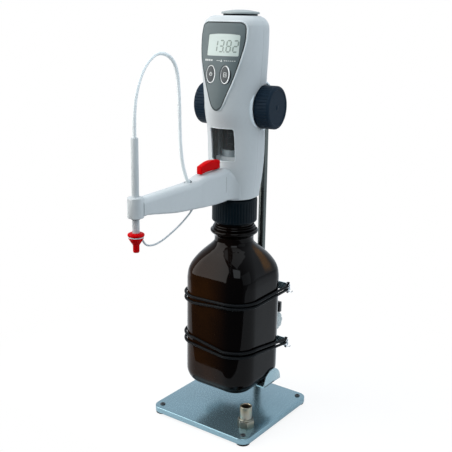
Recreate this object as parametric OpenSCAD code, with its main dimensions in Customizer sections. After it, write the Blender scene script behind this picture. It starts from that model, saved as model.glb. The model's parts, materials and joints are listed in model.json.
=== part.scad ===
// Digital burette on a stand: a motorless hand-wheel burette head screwed on an amber
// reagent bottle, with its discharge arm, hose and capped tip, held on a rod by a fork.
// Millimetres, +Z up, X to the right, Y to the back, origin on the table under the bottle.

/* [Stand] */
// Side of the square base plate
plate_side = 146; // [140:1:180]
// Thickness of the base plate
plate_t = 7.5; // [6:0.5:12]
// Corner radius of the base plate
plate_corner_r = 12; // [9:1:20]
// Distance of each corner screw from the plate's two edges
foot_inset = 10; // [9:0.5:14]
// Diameter of a rubber foot
foot_d = 11; // [9:0.5:14]
// Height of a rubber foot under the plate
foot_h = 2.5; // [2:0.1:4]
// Shank diameter of a foot screw
foot_screw_d = 4; // [3:0.5:4.5]
// Head diameter of a foot screw
foot_screw_head_d = 6.6; // [6:0.1:8]
// Diameter of the stand rod
rod_d = 10; // [8:0.5:12]
// Length of the stand rod above the plate
rod_l = 350; // [300:1:356]
// Distance of the rod behind the bottle's axis
rod_y = 62; // [61:0.5:63]
// Diameter of the screw that holds the rod
rod_screw_d = 6; // [5:0.5:6]
// Outer diameter of the rod socket on the plate
socket_d = 13.4; // [13:0.2:15]
// Bore of the rod socket
socket_bore_d = 10.2; // [9:0.1:10.6]
// Height of the rod socket
socket_h = 27; // [22:0.5:36]
// Distances of the rod socket from the plate's right and front edges
socket_inset = [20.5, 30.5]; // [20:0.5:60]
// Width across the flats of the socket nut
socket_nut_w = 17; // [16:0.5:20]
// Height of the socket nut
socket_nut_h = 13.5; // [8:0.5:18]

/* [Holder] */
// Height of the bottle's underside above the plate
bottle_lift = 30.6; // [26:0.1:40]
// Thickness of the holder's sheet metal
sheet_t = 1.5; // [1.2:0.1:1.8]
// Height of the fork's top face above the bottle's underside
fork_rise = 4; // [3:0.1:6]
// Radius of the round ear on each side of the fork
ear_r = 19; // [14:0.5:22]
// Gap between the bottle's side and an ear
ear_gap = 0.6; // [0.4:0.1:1.5]
// Width of the holder's upright
upright_w = 40; // [34:1:44]
// Height of the upper strap above the bottle's underside
upper_strap_h = 122; // [110:1:128]
// Height of the lower strap above the bottle's underside
lower_strap_h = 47; // [44:1:50]
// Diameter of a strap's cord
strap_d = 3.4; // [2:0.1:4]
// Height of the rod clamp's centre above the bottle's underside
clamp_h = 75; // [73:0.5:85]
// Height of the rod clamp
clamp_l = 42; // [36:1:46]
// Diameter of the clamp knob
clamp_knob_d = 26; // [20:0.5:27]

/* [Bottle] */
// Side of the square bottle
bottle_side = 98; // [92:0.5:98]
// Corner radius of the bottle's body
bottle_corner_r = 28.4; // [26:0.2:32]
// Radius of the bottle's bottom edge
bottle_foot_r = 22; // [14:0.5:24]
// Height of the bottle's straight body
body_h = 140.6; // [132:0.2:150]
// Height of the shoulder
shoulder_h = 48.4; // [40:0.2:60]
// Length of the neck above the shoulder
neck_l = 38.4; // [36:0.2:44]
// Glass thickness
glass_t = 3; // [2:0.1:4]
// Outer radius of the neck's bead
bead_r = 29.3; // [26:0.1:31]
// Radius of the plain neck
neck_r = 24; // [23.2:0.1:25.5]
// Radius of the neck's thread
thread_r = 22.3; // [21:0.05:22.6]
// Radius of the bottle's mouth
mouth_r = 16.3; // [15:0.1:17]
// Outer radius of the collar nut
collar_r = 27.5; // [26:0.1:29]
// Height of the collar nut
collar_h = 30; // [27:0.5:31]

/* [Head] */
// Turn of the head on the bottle, seen from above, in degrees
head_turn = 5.3; // [-20:0.1:20]
// Gap between the bottle's rim and the head's underside
head_gap = 17; // [16:0.1:18.5]
// Wall of the head's covers
wall = 2.4; // [1.8:0.1:2.6]
// Half the width of the window
window_hw = 15.6; // [10:0.1:16]
// Height of the window's lower edge above the head's underside
window_low = 48; // [45:0.5:52]
// Height of the window
window_h = 36.6; // [28:0.2:40]
// Half the width of the display
display_hw = 19.5; // [16:0.1:20]
// Height of the display's lower edge above the head's underside
display_low = 166; // [162:0.5:168]
// Height of the display
display_h = 23.4; // [18:0.2:24]
// Distance of a button from the middle
button_x = 9.2; // [8:0.1:11]
// Height of the buttons above the head's underside
button_z = 145.7; // [143:0.1:147]
// Width of a button
button_w = 11.4; // [9:0.1:12]
// Length of a button
button_l = 19.6; // [16:0.1:20]
// Travel of a button
button_travel = 0.8; // [0.5:0.1:1]
// Radius of the domed top cap
top_cap_r = 21.8; // [20:0.1:22.5]
// Distance of the top cap to the right of the head's axis
top_cap_x = 3; // [0:0.5:3]

/* [Drive] */
// Height of the hand-wheel shaft above the head's underside
shaft_z = 107.4; // [104:0.1:110]
// Distance of the shaft behind the head's axis
shaft_y = 8.4; // [8:0.1:9]
// Diameter of the shaft
shaft_d = 8; // [6:0.5:8]
// Radius of a hand wheel
wheel_r = 25; // [20:0.5:26]
// Width of a hand wheel
wheel_w = 19.6; // [14:0.2:24]
// Half the distance between the hand wheels
wheel_gap = 30.8; // [30.6:0.1:33]
// Teeth on the pinion
pinion_teeth = 16; // [16:2:16]
// Length of a tooth's pitch in radius per tooth
tooth_module = 1; // [1:0.1:1]
// Outer radius of the glass cylinder
cylinder_r = 14; // [13.6:0.1:14.6]
// Wall of the glass cylinder
cylinder_t = 1.2; // [1:0.1:1.6]
// Length of the glass cylinder
cylinder_l = 40; // [38:0.5:40]

/* [Arm and tip] */
// Distance of the titration tube in front of the head's axis
tube_reach = 197; // [197:1:197]
// Diameter of the titration tube
tube_d = 7.4; // [6:0.2:7.6]
// Height of the tube's top above the head's underside
tube_top = 94; // [94:1:94]
// Wall of the arm
arm_wall = 2; // [1.6:0.1:2.2]
// Diameter of the discharge hose
hose_d = 4; // [3.5:0.1:4.2]
// Diameter of the cap's tether
tether_d = 2; // [1.5:0.1:2.2]
// Distance of the valve lever in front of the head's axis
lever_y = 45; // [44:0.5:50]
// Length of the lever's finger from its pivot
lever_l = 38; // [30:1:44]
// Radius of the tip cap's flange
cap_r = 8.6; // [7.5:0.1:9.5]
// Radius of the tip holder
tip_r = 8.2; // [7.6:0.1:8.6]

/* [Fits] */
// Radial clearance of a shaft or screw in its hole
running_gap = 0.05; // [0.03:0.01:0.08]
// Clearance between covers and what passes through them
cover_gap = 0.3; // [0.2:0.05:0.4]

/* [Hidden] */
$fn = 64;

// Heights of the stack, from the table up
deck_z = foot_h + plate_t;
bottle_z = deck_z + bottle_lift;
bottle_h = body_h + shoulder_h + neck_l;
rim_z = bottle_z + bottle_h;
head_z = rim_z + head_gap;
fork_top_z = bottle_z + fork_rise;
clamp_z = bottle_z + clamp_h;
bottle_half = bottle_side / 2;

// Holder
upright_gap = 2.5;
upright_y = bottle_half + upright_gap;
clamp_y = upright_y + sheet_t;
clamp_back = rod_y + 11;
clamp_left = -16;
clamp_right = 22;
clamp_knob_w = 12;
clamp_screw_d = 6;
clamp_knob_drop = 8;
fork_front = -1.3;
fork_hw = bottle_half + ear_gap + sheet_t;
ear_y = 18;
crossbar_h = 10;
crossbar_hw = 51;
strap_offset = strap_d / 2 + 0.3;
hook_y = upright_y - 4;
hook_h = 18;
hook_r = 1.6;

// Bottle: share of the shoulder's height and share of the way in to the neck
shoulder_rows = [[0, 0], [0.1, 0.015], [0.2, 0.04], [0.3, 0.09], [0.4, 0.17], [0.5, 0.28], [0.6, 0.41],
    [0.7, 0.57], [0.8, 0.75], [0.88, 0.89], [0.94, 0.97], [1, 1]];
bead_low = 8;
bottle_sides = 40;
thread_l = collar_h / 2;
collar_top_t = 4;
adapter_neck_r = 18.7;
adapter_flange_h = thread_l - collar_top_t - 0.3;
duct_r = 2;
suction_r = 3;

// Stand details
socket_xy = [plate_side / 2 - socket_inset.x, socket_inset.y - plate_side / 2];
rod_screw_head_d = 11;
rod_screw_head_h = 3;
rod_screw_depth = 12;
socket_floor = 3;
socket_stud_d = 8;
socket_stud_l = 5;

// Head outline: height, half width, front, back and squareness of the front
head_rows = [
    [0, 27, -30.5, 28.5, 2], [25, 30, -31.3, 31, 2], [47, 31.6, -31.8, 32.5, 2],
    [70, 32, -33.7, 32.5, 2], [85, 32, -37, 31.7, 2], [94, 32.2, -41.5, 31.5, 2],
    [103, 32.4, -45, 31.3, 2], [120, 32.6, -45.7, 30.8, 2.1], [143, 33.7, -43.6, 29.5, 2.5],
    [165, 35.2, -41.3, 28.4, 2.9], [188, 36, -36.7, 27.7, 3], [199, 35.6, -33.3, 27.2, 3],
    [204, 33.2, -31.2, 25.4, 3], [207.5, 29.3, -28.6, 23.2, 3], [209.5, 25, -25, 21, 2.8]
];
head_h = 209.5;
head_mid_y = -4;
back_squareness = 2.9;
roof_t = 2.6;
head_levels = [0, 12, 25, 36, 47, 58, 70, 78, 85, 90, 94, 98, 103, 111, 120, 131, 143, 154,
    165, 177, 188, 194, 199, 202, 204, 206, 207.5, 209.5];

// Outline of the control panel: height and half width
panel_rows = [[105.5, 1.5], [107, 4.6], [110, 6.8], [116, 9.6], [122, 12], [133, 16.3],
    [145, 20.4], [157, 24], [168, 26.7], [178, 28.4], [187, 29], [195, 28.6], [199.5, 27.2],
    [202, 24.6], [203, 21.5]];
panel_gap = 0.3;
panel_t = 0.9;
button_tilt = 6;
button_proud = 1.1;
button_neck_y = 42.6;
flange_in = 4.8;
window_corner_r = 2.5;
encoder_r = 10;
frame_front = -10;
frame_back = 19;
button_stem_end = 29;
switch_past = 3.1;
board_y = -27;
board_t = 1.6;
board_hw = 22;
board_low = 128;
board_h = 64;

// Screws of the head: place beside the middle and height, and the bosses they sit in
boss_places = [[-23.2, 22], [23.2, 22], [-26, 190], [26, 190]];
boss_r = 3.6;
cover_screw_r = 1.5;
cover_screw_head_r = 2.8;
cover_screw_head_h = 1.6;
cover_screw_end = -11;
floor_t = 3;
cap_spigot_r = 15;
cap_spigot_l = 5;
gasket_t = 1.8;
wheel_boss_t = 2.6;
wheel_face_t = 5;
pane_proud = -0.7;
pane_t = 1.4;
lens_proud = -0.3;

// Pump inside the head
block_low = 5;
block_h = 44;
block_hw = 16;
block_front = -18;
block_back = 12;
cylinder_y = -3.5;
ring_low = block_low + block_h;
ring_h = 8;
cylinder_low = ring_low + ring_h;
bore_r = cylinder_r - cylinder_t;
piston_h = 5;
piston_low = cylinder_low + 1;
rack_w = 8;
pitch_r = pinion_teeth * tooth_module / 2;
rack_pitch_y = shaft_y - pitch_r;
rack_teeth = 15;
frame_t = 3;
frame_hw = block_hw + frame_t;
bridge_z = shaft_z + 12;
battery_r = 5.25;
battery_l = 44.5;
battery_x = 7.5;
battery_y = 14;
holder_hw = 15;
door_hw = 14;
door_low = 130;
door_h = 46;
door_y = 25;
door_t = 2.2;

// Arm: distance in front of the axis, half width, underside and top
arm_rows = [
    [22, 10, 5.5, 35], [29, 11.3, 4.5, 36.5], [34, 12, 1.6, 37.6], [40, 12, 1, 38],
    [60, 11.3, 1, 38], [76, 10.8, 2, 37.5], [84, 10.5, 2.5, 36.4], [92, 10, 3.2, 34.4],
    [107, 9.5, 4.3, 33.5], [121, 9.1, 5.5, 33.3], [140, 8.7, 7.7, 33.3],
    [167, 8.2, 12, 33.2], [181, 8, 14.3, 33.1], [188, 7.9, 15.4, 33.1]
];
arm_root_l = 40;
arm_rows_l = 188;
tip_seat_l = 9;
arm_squareness = 2.7;
arm_sides = 28;
spindle_d = 8;
spindle_low = 10;
hose_hole_y = 103;
hose_hole_z = 33.4;
hose_lean = 32;
fitting_d = 6;
fitting_l = 14;
duct_z = spindle_low + 10;
valve_r = spindle_d / 2 + 3;
lever_z = 38.4;
lever_h = 10.5;
lever_rim = 1.5;
spindle_l = lever_z - spindle_low - 1.2;
lever_pin_l = spindle_l + 5.3;
tip_seat_hw = 7.4;
tip_low = 14;
tip_h = 21.3;
nozzle_d = 3;
nozzle_l = 8;
tube_low = -9;

// Hose and tether, as points in front of the axis and above the head's underside
hose_route = [
    [-103.4, 34.1], [-105.4, 37.3], [-108, 42], [-112, 51], [-115, 61], [-117, 72], [-118.4, 84],
    [-119, 97], [-119.4, 110], [-120, 123], [-121, 136], [-123, 148.5], [-126, 157],
    [-130.5, 163.4], [-136.5, 168], [-144, 171], [-152, 172.3], [-160, 171.6], [-168, 168.3],
    [-175.5, 163.2], [-182, 156.6], [-187.5, 148.4], [-191.8, 139.2], [-195, 128.4],
    [-196.6, 116.5], [-197, 105], [-197, 94]
];
tether_route = [
    [-187.9, -9.9], [-186.2, -11.9], [-183.4, -15.6], [-179.5, -18.6], [-173.5, -20.6],
    [-164.5, -21.6], [-152, -20.4], [-140.5, -17.7], [-128, -14], [-117, -10.2],
    [-106.5, -5.6], [-98, -1.2], [-93.6, 2.2]
];

// Catmull-Rom value of one column of a table at a height
function row_at(rows, z, i = 0) = i >= len(rows) - 2 || z <= rows[i + 1][0] ? i : row_at(rows, z, i + 1);
function smooth_step(a, b, c, d, t) = 0.5 * (2 * b + (c - a) * t + (2 * a - 5 * b + 4 * c - d) * t * t
    + (3 * b - a - 3 * c + d) * t * t * t);
function table_value(rows, z, column) =
    let (i = row_at(rows, z), n = len(rows) - 1,
        a = rows[max(i - 1, 0)][column], b = rows[i][column], c = rows[i + 1][column],
        d = rows[min(i + 2, n)][column],
        t = (z - rows[i][0]) / (rows[i + 1][0] - rows[i][0]))
    smooth_step(a, b, c, d, t);

// Straight-line value of one column of a table
function straight_value(rows, z, column) =
    let (i = row_at(rows, z), t = (z - rows[i][0]) / (rows[i + 1][0] - rows[i][0]))
    rows[i][column] + (rows[i + 1][column] - rows[i][column]) * t;

function power_of(v, p) = v <= 0 ? 0 : pow(v, p);
function sign_power(v, p) = sign(v) * power_of(abs(v), p);

// Depth of the head's front or back surface at a place, moved inwards by inset
function head_y(x, z, side, inset = 0) =
    let (hw = straight_value(head_rows, z, 1) - inset,
        front = head_mid_y - straight_value(head_rows, z, 2) - inset,
        back = straight_value(head_rows, z, 3) - head_mid_y - inset,
        n = straight_value(head_rows, z, 4),
        deep = side < 0 ? front : back, p = side < 0 ? n : back_squareness)
    head_mid_y + side * deep * power_of(1 - power_of(abs(x) / hw, p), 1 / p);

// Half of the head's outline at one height, front (side -1) or back (side 1)
function half_outline(z, side, inset, count, past) =
    let (hw = table_value(head_rows, z, 1) - inset,
        front = head_mid_y - table_value(head_rows, z, 2) - inset,
        back = table_value(head_rows, z, 3) - head_mid_y - inset,
        n = side < 0 ? table_value(head_rows, z, 4) : back_squareness,
        deep = side < 0 ? front : back)
    concat(
        past > 0 ? [[hw, head_mid_y - side * past, z]] : [],
        [for (i = [0 : count]) let (a = 180 * i / count)
            [hw * sign_power(cos(a), 2 / n), head_mid_y + side * deep * power_of(sin(a), 2 / n), z]],
        past > 0 ? [[-hw, head_mid_y - side * past, z]] : []);

// Solid through a stack of outlines that have the same number of points
module loft(rings, flip = false) {
    n = len(rings[0]);
    top = len(rings) - 1;
    points = [for (ring = rings) each ring];
    sides = [for (k = [0 : top - 1], j = [0 : n - 1])
        let (a = k * n + j, b = k * n + (j + 1) % n, c = b + n, d = a + n)
        each [[a, c, b], [a, d, c]]];
    caps = [[for (j = [0 : n - 1]) j], [for (j = [n - 1 : -1 : 0]) top * n + j]];
    faces = concat(sides, caps);
    polyhedron(points, flip ? [for (f = faces) [for (i = [len(f) - 1 : -1 : 0]) f[i]]] : faces);
}

// Patch of the head's front surface between two depths, within a half width at each height
function patch_ring(z, hw, outer, inner, columns) = concat(
    [for (i = [0 : columns]) let (x = -hw + 2 * hw * i / columns) [x, head_y(x, z, -1) + outer, z]],
    [for (i = [columns : -1 : 0]) let (x = -hw + 2 * hw * i / columns) [x, head_y(x, z, -1) + inner, z]]);
module patch(rows, outer, inner, columns = 12)
    loft([for (r = rows) patch_ring(r[0], r[1], outer, inner, columns)]);

// Round tube along points, with a side direction that the route never follows
function unit(v) = v / norm(v);
function direction_at(path, i) =
    unit(path[min(i + 1, len(path) - 1)] - path[max(i - 1, 0)]);
function tube_ring(path, i, r, sides, across) =
    let (t = direction_at(path, i), u = unit(cross(t, across)), v = cross(u, t))
    [for (k = [0 : sides - 1]) let (a = 360 * k / sides) path[i] + r * (cos(a) * u + sin(a) * v)];
module tube_along(path, r, sides, across)
    loft([for (i = [0 : len(path) - 1]) tube_ring(path, i, r, sides, across)], true);

// Places and common shapes
module at_head() translate([0, 0, head_z]) rotate([0, 0, head_turn]) children();
module at_plate_corners() {
    away = plate_side / 2 - foot_inset;
    for (x = [-away, away], y = [-away, away]) translate([x, y, 0]) children();
}
module rounded_rect(w, l, r) {
    square([w - 2 * r, l], center = true);
    square([w, l - 2 * r], center = true);
    for (x = [-1, 1], y = [-1, 1]) translate([x * (w / 2 - r), y * (l / 2 - r)]) circle(r);
}
module box_from(low, high) translate(low) cube(high - low);
module along_x(x) translate([x, 0, 0]) rotate([0, 90, 0]) children();
module along_front(y) translate([0, y, 0]) rotate([90, 0, 0]) children();

// Stand
module base_plate() color([0.72, 0.77, 0.83]) difference() {
    translate([0, 0, foot_h]) linear_extrude(plate_t) rounded_rect(plate_side, plate_side, plate_corner_r);
    at_plate_corners() translate([0, 0, foot_h - 1])
        cylinder(r = foot_screw_d / 2 + running_gap, h = plate_t + 2);
    translate([0, rod_y, foot_h - 1]) {
        cylinder(r = rod_screw_d / 2 + running_gap, h = plate_t + 2);
        cylinder(r = rod_screw_head_d / 2 + running_gap, h = 1 + rod_screw_head_h);
    }
    translate([socket_xy.x, socket_xy.y, deck_z - socket_stud_l])
        cylinder(r = socket_stud_d / 2 + running_gap, h = socket_stud_l + 1);
}

// Feet under the corner screws and a plain one under the plate's middle
module foot() cylinder(d1 = foot_d - 1, d2 = foot_d, h = foot_h);
module rubber_feet() color([0.08, 0.08, 0.08]) {
    foot();
    at_plate_corners() difference() {
        foot();
        translate([0, 0, 0.8]) cylinder(r = foot_screw_d / 2 + running_gap, h = foot_h);
    }
}

module foot_screws() color([0.15, 0.15, 0.16]) at_plate_corners() {
    translate([0, 0, 1]) cylinder(d = foot_screw_d, h = deck_z - 1);
    translate([0, 0, deck_z]) difference() {
        cylinder(d1 = foot_screw_head_d, d2 = foot_screw_head_d - 1.6, h = 1.4);
        translate([0, 0, 0.5]) cylinder(d = foot_screw_d * 0.6, h = 1, $fn = 6);
    }
}

module stand_rod() color([0.3, 0.31, 0.32]) translate([0, rod_y, deck_z]) difference() {
    union() {
        cylinder(d = rod_d, h = rod_l - 1.5);
        translate([0, 0, rod_l - 1.5]) cylinder(d1 = rod_d, d2 = rod_d - 3, h = 1.5);
    }
    translate([0, 0, -1]) cylinder(r = rod_screw_d / 2 + running_gap, h = rod_screw_depth + 2);
}

module rod_screw() color([0.5, 0.5, 0.52]) translate([0, rod_y, foot_h]) difference() {
    union() {
        cylinder(d = rod_screw_head_d, h = rod_screw_head_h);
        cylinder(d = rod_screw_d, h = plate_t + rod_screw_depth);
    }
    translate([0, 0, -1]) cylinder(d = rod_screw_d - 1, h = 1 + rod_screw_head_h / 2, $fn = 6);
}

module stand_socket() color([0.7, 0.66, 0.52]) translate([socket_xy.x, socket_xy.y, deck_z]) difference() {
    union() {
        cylinder(d = socket_d, h = socket_h);
        translate([0, 0, -socket_stud_l]) cylinder(d = socket_stud_d, h = socket_stud_l + 1);
    }
    translate([0, 0, socket_floor]) cylinder(d = socket_bore_d, h = socket_h);
}

module socket_nut() color([0.66, 0.62, 0.5]) translate([socket_xy.x, socket_xy.y, deck_z]) difference() {
    rotate([0, 0, 15]) cylinder(d = socket_nut_w / cos(30), h = socket_nut_h, $fn = 6);
    translate([0, 0, -1]) cylinder(r = socket_d / 2 + running_gap, h = socket_nut_h + 2);
}

// Holder that carries the bottle on the rod
module rod_clamp() color([0.1, 0.1, 0.11]) translate([0, 0, clamp_z]) difference() {
    union() {
        box_from([clamp_left, clamp_y, -clamp_l / 2], [clamp_right, clamp_back, clamp_l / 2]);
        box_from([clamp_right - 1, rod_y - 5, clamp_l / 2 - 15],
            [clamp_right + clamp_knob_w - 1, rod_y + 5, clamp_l / 2 - 1]);
    }
    translate([0, rod_y, -clamp_l / 2 - 1]) cylinder(r = rod_d / 2 + running_gap, h = clamp_l + 2);
    translate([0, rod_y, -clamp_knob_drop]) along_x(0)
        cylinder(r = clamp_screw_d / 2 + running_gap, h = clamp_right + 1);
    for (z = [-1, 1]) translate([0, clamp_y - 1, z * clamp_l / 3]) rotate([-90, 0, 0])
        translate([upright_w / 4, 0, 0]) cylinder(r = 1.5 + running_gap, h = 9);
}

module clamp_knob() color([0.85, 0.86, 0.87]) translate([0, rod_y, clamp_z - clamp_knob_drop]) {
    along_x(rod_d / 2 + 0.3) cylinder(d = clamp_screw_d, h = clamp_right + 1.2 - rod_d / 2);
    difference() {
        along_x(clamp_right + 0.4) cylinder(d = clamp_knob_d, h = clamp_knob_w);
        for (a = [0 : 45 : 315]) rotate([a, 0, 0]) translate([clamp_right, 0, clamp_knob_d / 2 + 1.6])
            along_x(0) cylinder(r = 3.2, h = clamp_knob_w + 1);
    }
}

module holder_back() color([0.74, 0.78, 0.83]) difference() {
    union() {
        box_from([-upright_w / 2, upright_y, fork_top_z - sheet_t],
            [upright_w / 2, clamp_y, bottle_z + upper_strap_h + 13]);
        for (h = [upper_strap_h, lower_strap_h]) translate([0, 0, bottle_z + h - crossbar_h / 2])
            box_from([-crossbar_hw, upright_y, 0], [crossbar_hw, clamp_y, crossbar_h]);
    }
    for (z = [-1, 1]) translate([upright_w / 4, upright_y - 1, clamp_z + z * clamp_l / 3])
        rotate([-90, 0, 0]) cylinder(r = 1.5 + running_gap, h = sheet_t + 2);
}

module holder_fork() color([0.74, 0.78, 0.83]) {
    foot_reach = sqrt(pow(bottle_foot_r, 2) - pow(bottle_foot_r - fork_rise, 2));
    inner = bottle_half - bottle_foot_r + foot_reach + 0.3;
    translate([0, 0, fork_top_z - sheet_t]) linear_extrude(sheet_t) difference() {
        translate([-fork_hw, fork_front]) square([2 * fork_hw, upright_y - fork_front]);
        translate([-inner, fork_front - 1]) square([2 * inner, inner - fork_front - 11]);
        translate([0, inner - 12]) rounded_rect(2 * inner, 24, 11);
    }
    box_from([-upright_w / 2, upright_y - sheet_t, fork_top_z], [upright_w / 2, upright_y, fork_top_z + 9]);
    for (x = [-fork_hw, fork_hw - sheet_t]) translate([x, ear_y, fork_top_z - sheet_t])
        intersection() {
            along_x(0) cylinder(r = ear_r, h = sheet_t);
            box_from([0, -ear_r, 0], [sheet_t, ear_r, ear_r]);
        }
}

module bracket_screws() color([0.6, 0.6, 0.62]) {
    for (z = [-1, 1]) translate([upright_w / 4, upright_y, clamp_z + z * clamp_l / 3]) {
        along_front(0) cylinder(d = 6, h = 1.2);
        rotate([-90, 0, 0]) cylinder(r = 1.5, h = sheet_t + 7);
    }
}

module strap_hooks() color([0.82, 0.83, 0.85])
    for (s = [0, 1], h = [upper_strap_h, lower_strap_h]) mirror([s, 0, 0])
        translate([crossbar_hw, 0, bottle_z + h]) {
            box_from([-4, hook_y, -hook_h / 2], [hook_r, upright_y, hook_h / 2]);
            translate([hook_r / 2, hook_y + hook_r, -hook_h / 2 + 2])
                cylinder(r = hook_r, h = hook_h - 4, $fn = 24);
        }

// One strap of two cords, as heights of its middle at left, front left, front right and right
function strap_stations(heights) =
    let (half = bottle_half + strap_offset, r = bottle_corner_r + strap_offset, c = half - r)
    concat(
        [[-half, hook_y - 0.2, heights[0]], [-half, (hook_y - c) / 2, (heights[0] + heights[1]) / 2]],
        [for (a = [180 : 15 : 270]) [-c + r * cos(a), -c + r * sin(a), heights[1]]],
        [for (a = [270 : 15 : 360]) [c + r * cos(a), -c + r * sin(a), heights[2]]],
        [[half, (hook_y - c) / 2, (heights[2] + heights[3]) / 2], [half, hook_y - 0.2, heights[3]]]);
module strap(base_h, sag, spread)
    for (s = [-1, 1]) {
        heights = [for (i = [0 : 3]) bottle_z + base_h + sag[i] + s * spread[i]];
        tube_along(strap_stations(heights), strap_d / 2, 8, [0, 0, 1]);
    }
module upper_strap() color([0.07, 0.07, 0.08]) strap(upper_strap_h, [0, -3.5, -1, 1], [3.4, 3.5, 2.4, 2.2]);
module lower_strap() color([0.07, 0.07, 0.08]) strap(lower_strap_h, [6, 17.5, 12, 3], [3.4, 4.4, 3, 2.4]);

// Bottle: rounded square that turns round at the shoulder
function square_outline(half, r, z) = [for (i = [0 : bottle_sides - 1])
    let (a = 360 * (i + 0.5) / bottle_sides, c = half - r)
    [sign(cos(a)) * c + r * cos(a), sign(sin(a)) * c + r * sin(a), z]];
function bottle_rings(inset, low) = concat(
    [for (a = [0 : 15 : 90]) let (in = inset + (bottle_foot_r - inset) * (1 - sin(a)))
        square_outline(bottle_half - in, bottle_corner_r - in, low + (bottle_foot_r - inset) * (1 - cos(a)))],
    [for (s = shoulder_rows) let (half = bottle_half + (neck_r - bottle_half) * s[1] - inset,
            r = bottle_corner_r + (neck_r - bottle_corner_r) * s[1] - inset)
        square_outline(half, r, body_h + shoulder_h * s[0])]);
// Neck rings from above the shoulder, over the bead and the rim, and down the mouth
function neck_rings(z, mouth) = [for (p = [[neck_r, bead_low], [bead_r, bead_low + 2.5],
    [bead_r, bead_low + 6], [neck_r, bead_low + 9], [neck_r, neck_l - thread_l - 1],
    [thread_r, neck_l - thread_l - 1], [thread_r, neck_l], [mouth, neck_l], [mouth, 0]])
    square_outline(p[0], p[0], z + p[1])];
module bottle() color([0.2, 0.09, 0.04, 0.85]) translate([0, 0, bottle_z])
    let (inside = bottle_rings(glass_t, glass_t), last = len(inside) - 1)
    loft(concat(bottle_rings(0, 0), neck_rings(body_h + shoulder_h, mouth_r / cos(180 / bottle_sides)),
        [for (i = [last : -1 : 0]) inside[i]]));

module collar_nut() color([0.05, 0.07, 0.1]) translate([0, 0, rim_z - collar_h / 2]) difference() {
    union() {
        cylinder(r1 = collar_r - 1.2, r2 = collar_r, h = 1.2);
        translate([0, 0, 1.2]) cylinder(r = collar_r, h = collar_h - 2.4);
        translate([0, 0, collar_h - 1.2]) cylinder(r1 = collar_r, r2 = collar_r - 1.2, h = 1.2);
    }
    translate([0, 0, -1]) cylinder(r = thread_r + cover_gap, h = collar_h - collar_top_t + 1);
    cylinder(r = adapter_neck_r + cover_gap, h = collar_h + 1);
    for (a = [0 : 10 : 350]) rotate([0, 0, a]) translate([collar_r + 0.35, 0, 3])
        cylinder(r = 0.9, h = collar_h - 6, $fn = 16);
}

// Pump and valve parts in the head
module neck_adapter() color([0.82, 0.83, 0.84]) translate([0, 0, rim_z]) difference() {
    union() {
        translate([0, 0, -12]) cylinder(r = mouth_r - cover_gap, h = 12.5);
        cylinder(r = thread_r - cover_gap, h = adapter_flange_h);
        cylinder(r = adapter_neck_r, h = head_gap + block_low);
    }
    translate([0, 0, -13]) cylinder(r = suction_r + running_gap, h = 9);
    translate([0, 0, -5]) cylinder(r = duct_r, h = head_gap + block_low + 6);
}

module suction_tube() color([0.85, 0.87, 0.88]) translate([0, 0, bottle_z + glass_t + 6]) difference() {
    cylinder(r = suction_r, h = bottle_h - glass_t - 11);
    translate([0, 0, -1]) cylinder(r = duct_r, h = bottle_h);
}

module valve_block() color([0.7, 0.72, 0.74]) at_head() difference() {
    box_from([-block_hw, block_front, block_low], [block_hw, block_back, ring_low]);
    translate([0, 0, block_low - 1]) cylinder(r = duct_r, h = 26);
    translate([0, 0, block_low + 20]) along_front(0) cylinder(r = duct_r, h = -block_front + 1);
    translate([0, cylinder_y, block_low + 24]) cylinder(r = duct_r, h = block_h);
}

module cylinder_base() color([0.72, 0.75, 0.78]) at_head() translate([0, cylinder_y, ring_low]) difference() {
    cylinder(r = cylinder_r + 1.4, h = ring_h);
    translate([0, 0, -1]) cylinder(r = 2.2, h = ring_h + 2);
}

module glass_cylinder() color([0.35, 0.4, 0.42, 0.5]) at_head() translate([0, cylinder_y, cylinder_low])
    difference() {
        cylinder(r = cylinder_r, h = cylinder_l);
        translate([0, 0, -1]) cylinder(r = bore_r, h = cylinder_l + 2);
    }

module piston() color([0.9, 0.9, 0.9]) at_head() translate([0, cylinder_y, piston_low]) difference() {
    cylinder(r = bore_r - 0.1, h = piston_h);
    difference() {
        translate([0, 0, 1.7]) cylinder(r = bore_r + 1, h = 1.6);
        translate([0, 0, 1]) cylinder(r = bore_r - 1.6, h = 3);
    }
}

module piston_seal() color([0.1, 0.1, 0.1]) at_head() translate([0, cylinder_y, piston_low + 1.8])
    difference() {
        cylinder(r = bore_r - running_gap, h = 1.4);
        translate([0, 0, -1]) cylinder(r = bore_r - 1.55, h = 4);
    }

// Rack teeth face the shaft, and a gap between two teeth sits level with it at rest
module piston_rack() color([0.75, 0.77, 0.8]) at_head() translate([-rack_w / 2, 0, 0]) rotate([90, 0, 90])
    linear_extrude(rack_w) {
        pitch = PI * tooth_module;
        root = rack_pitch_y - 1.25 * tooth_module;
        tip = rack_pitch_y + 0.8 * tooth_module;
        low = piston_low + piston_h;
        translate([root - 5, low]) square([5, shaft_z + 3 * pitch - low]);
        for (i = [0 : rack_teeth - 1]) translate([0, shaft_z + (2.5 - i) * pitch])
            polygon([[root - 0.1, -0.9], [tip, -0.3], [tip, 0.3], [root - 0.1, 0.9]]);
    }

module pinion() color([0.78, 0.7, 0.45]) at_head() translate([0, shaft_y, shaft_z]) along_x(-rack_w / 2)
    linear_extrude(rack_w) difference() {
        root = pitch_r - 1.25 * tooth_module;
        tip = pitch_r + 0.8 * tooth_module;
        union() {
            circle(root);
            for (i = [0 : pinion_teeth - 1]) rotate(360 * i / pinion_teeth)
                polygon([[root - 0.3, -0.95], [tip, -0.3], [tip, 0.3], [root - 0.3, 0.95]]);
        }
        circle(shaft_d / 2 + running_gap);
    }

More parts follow.
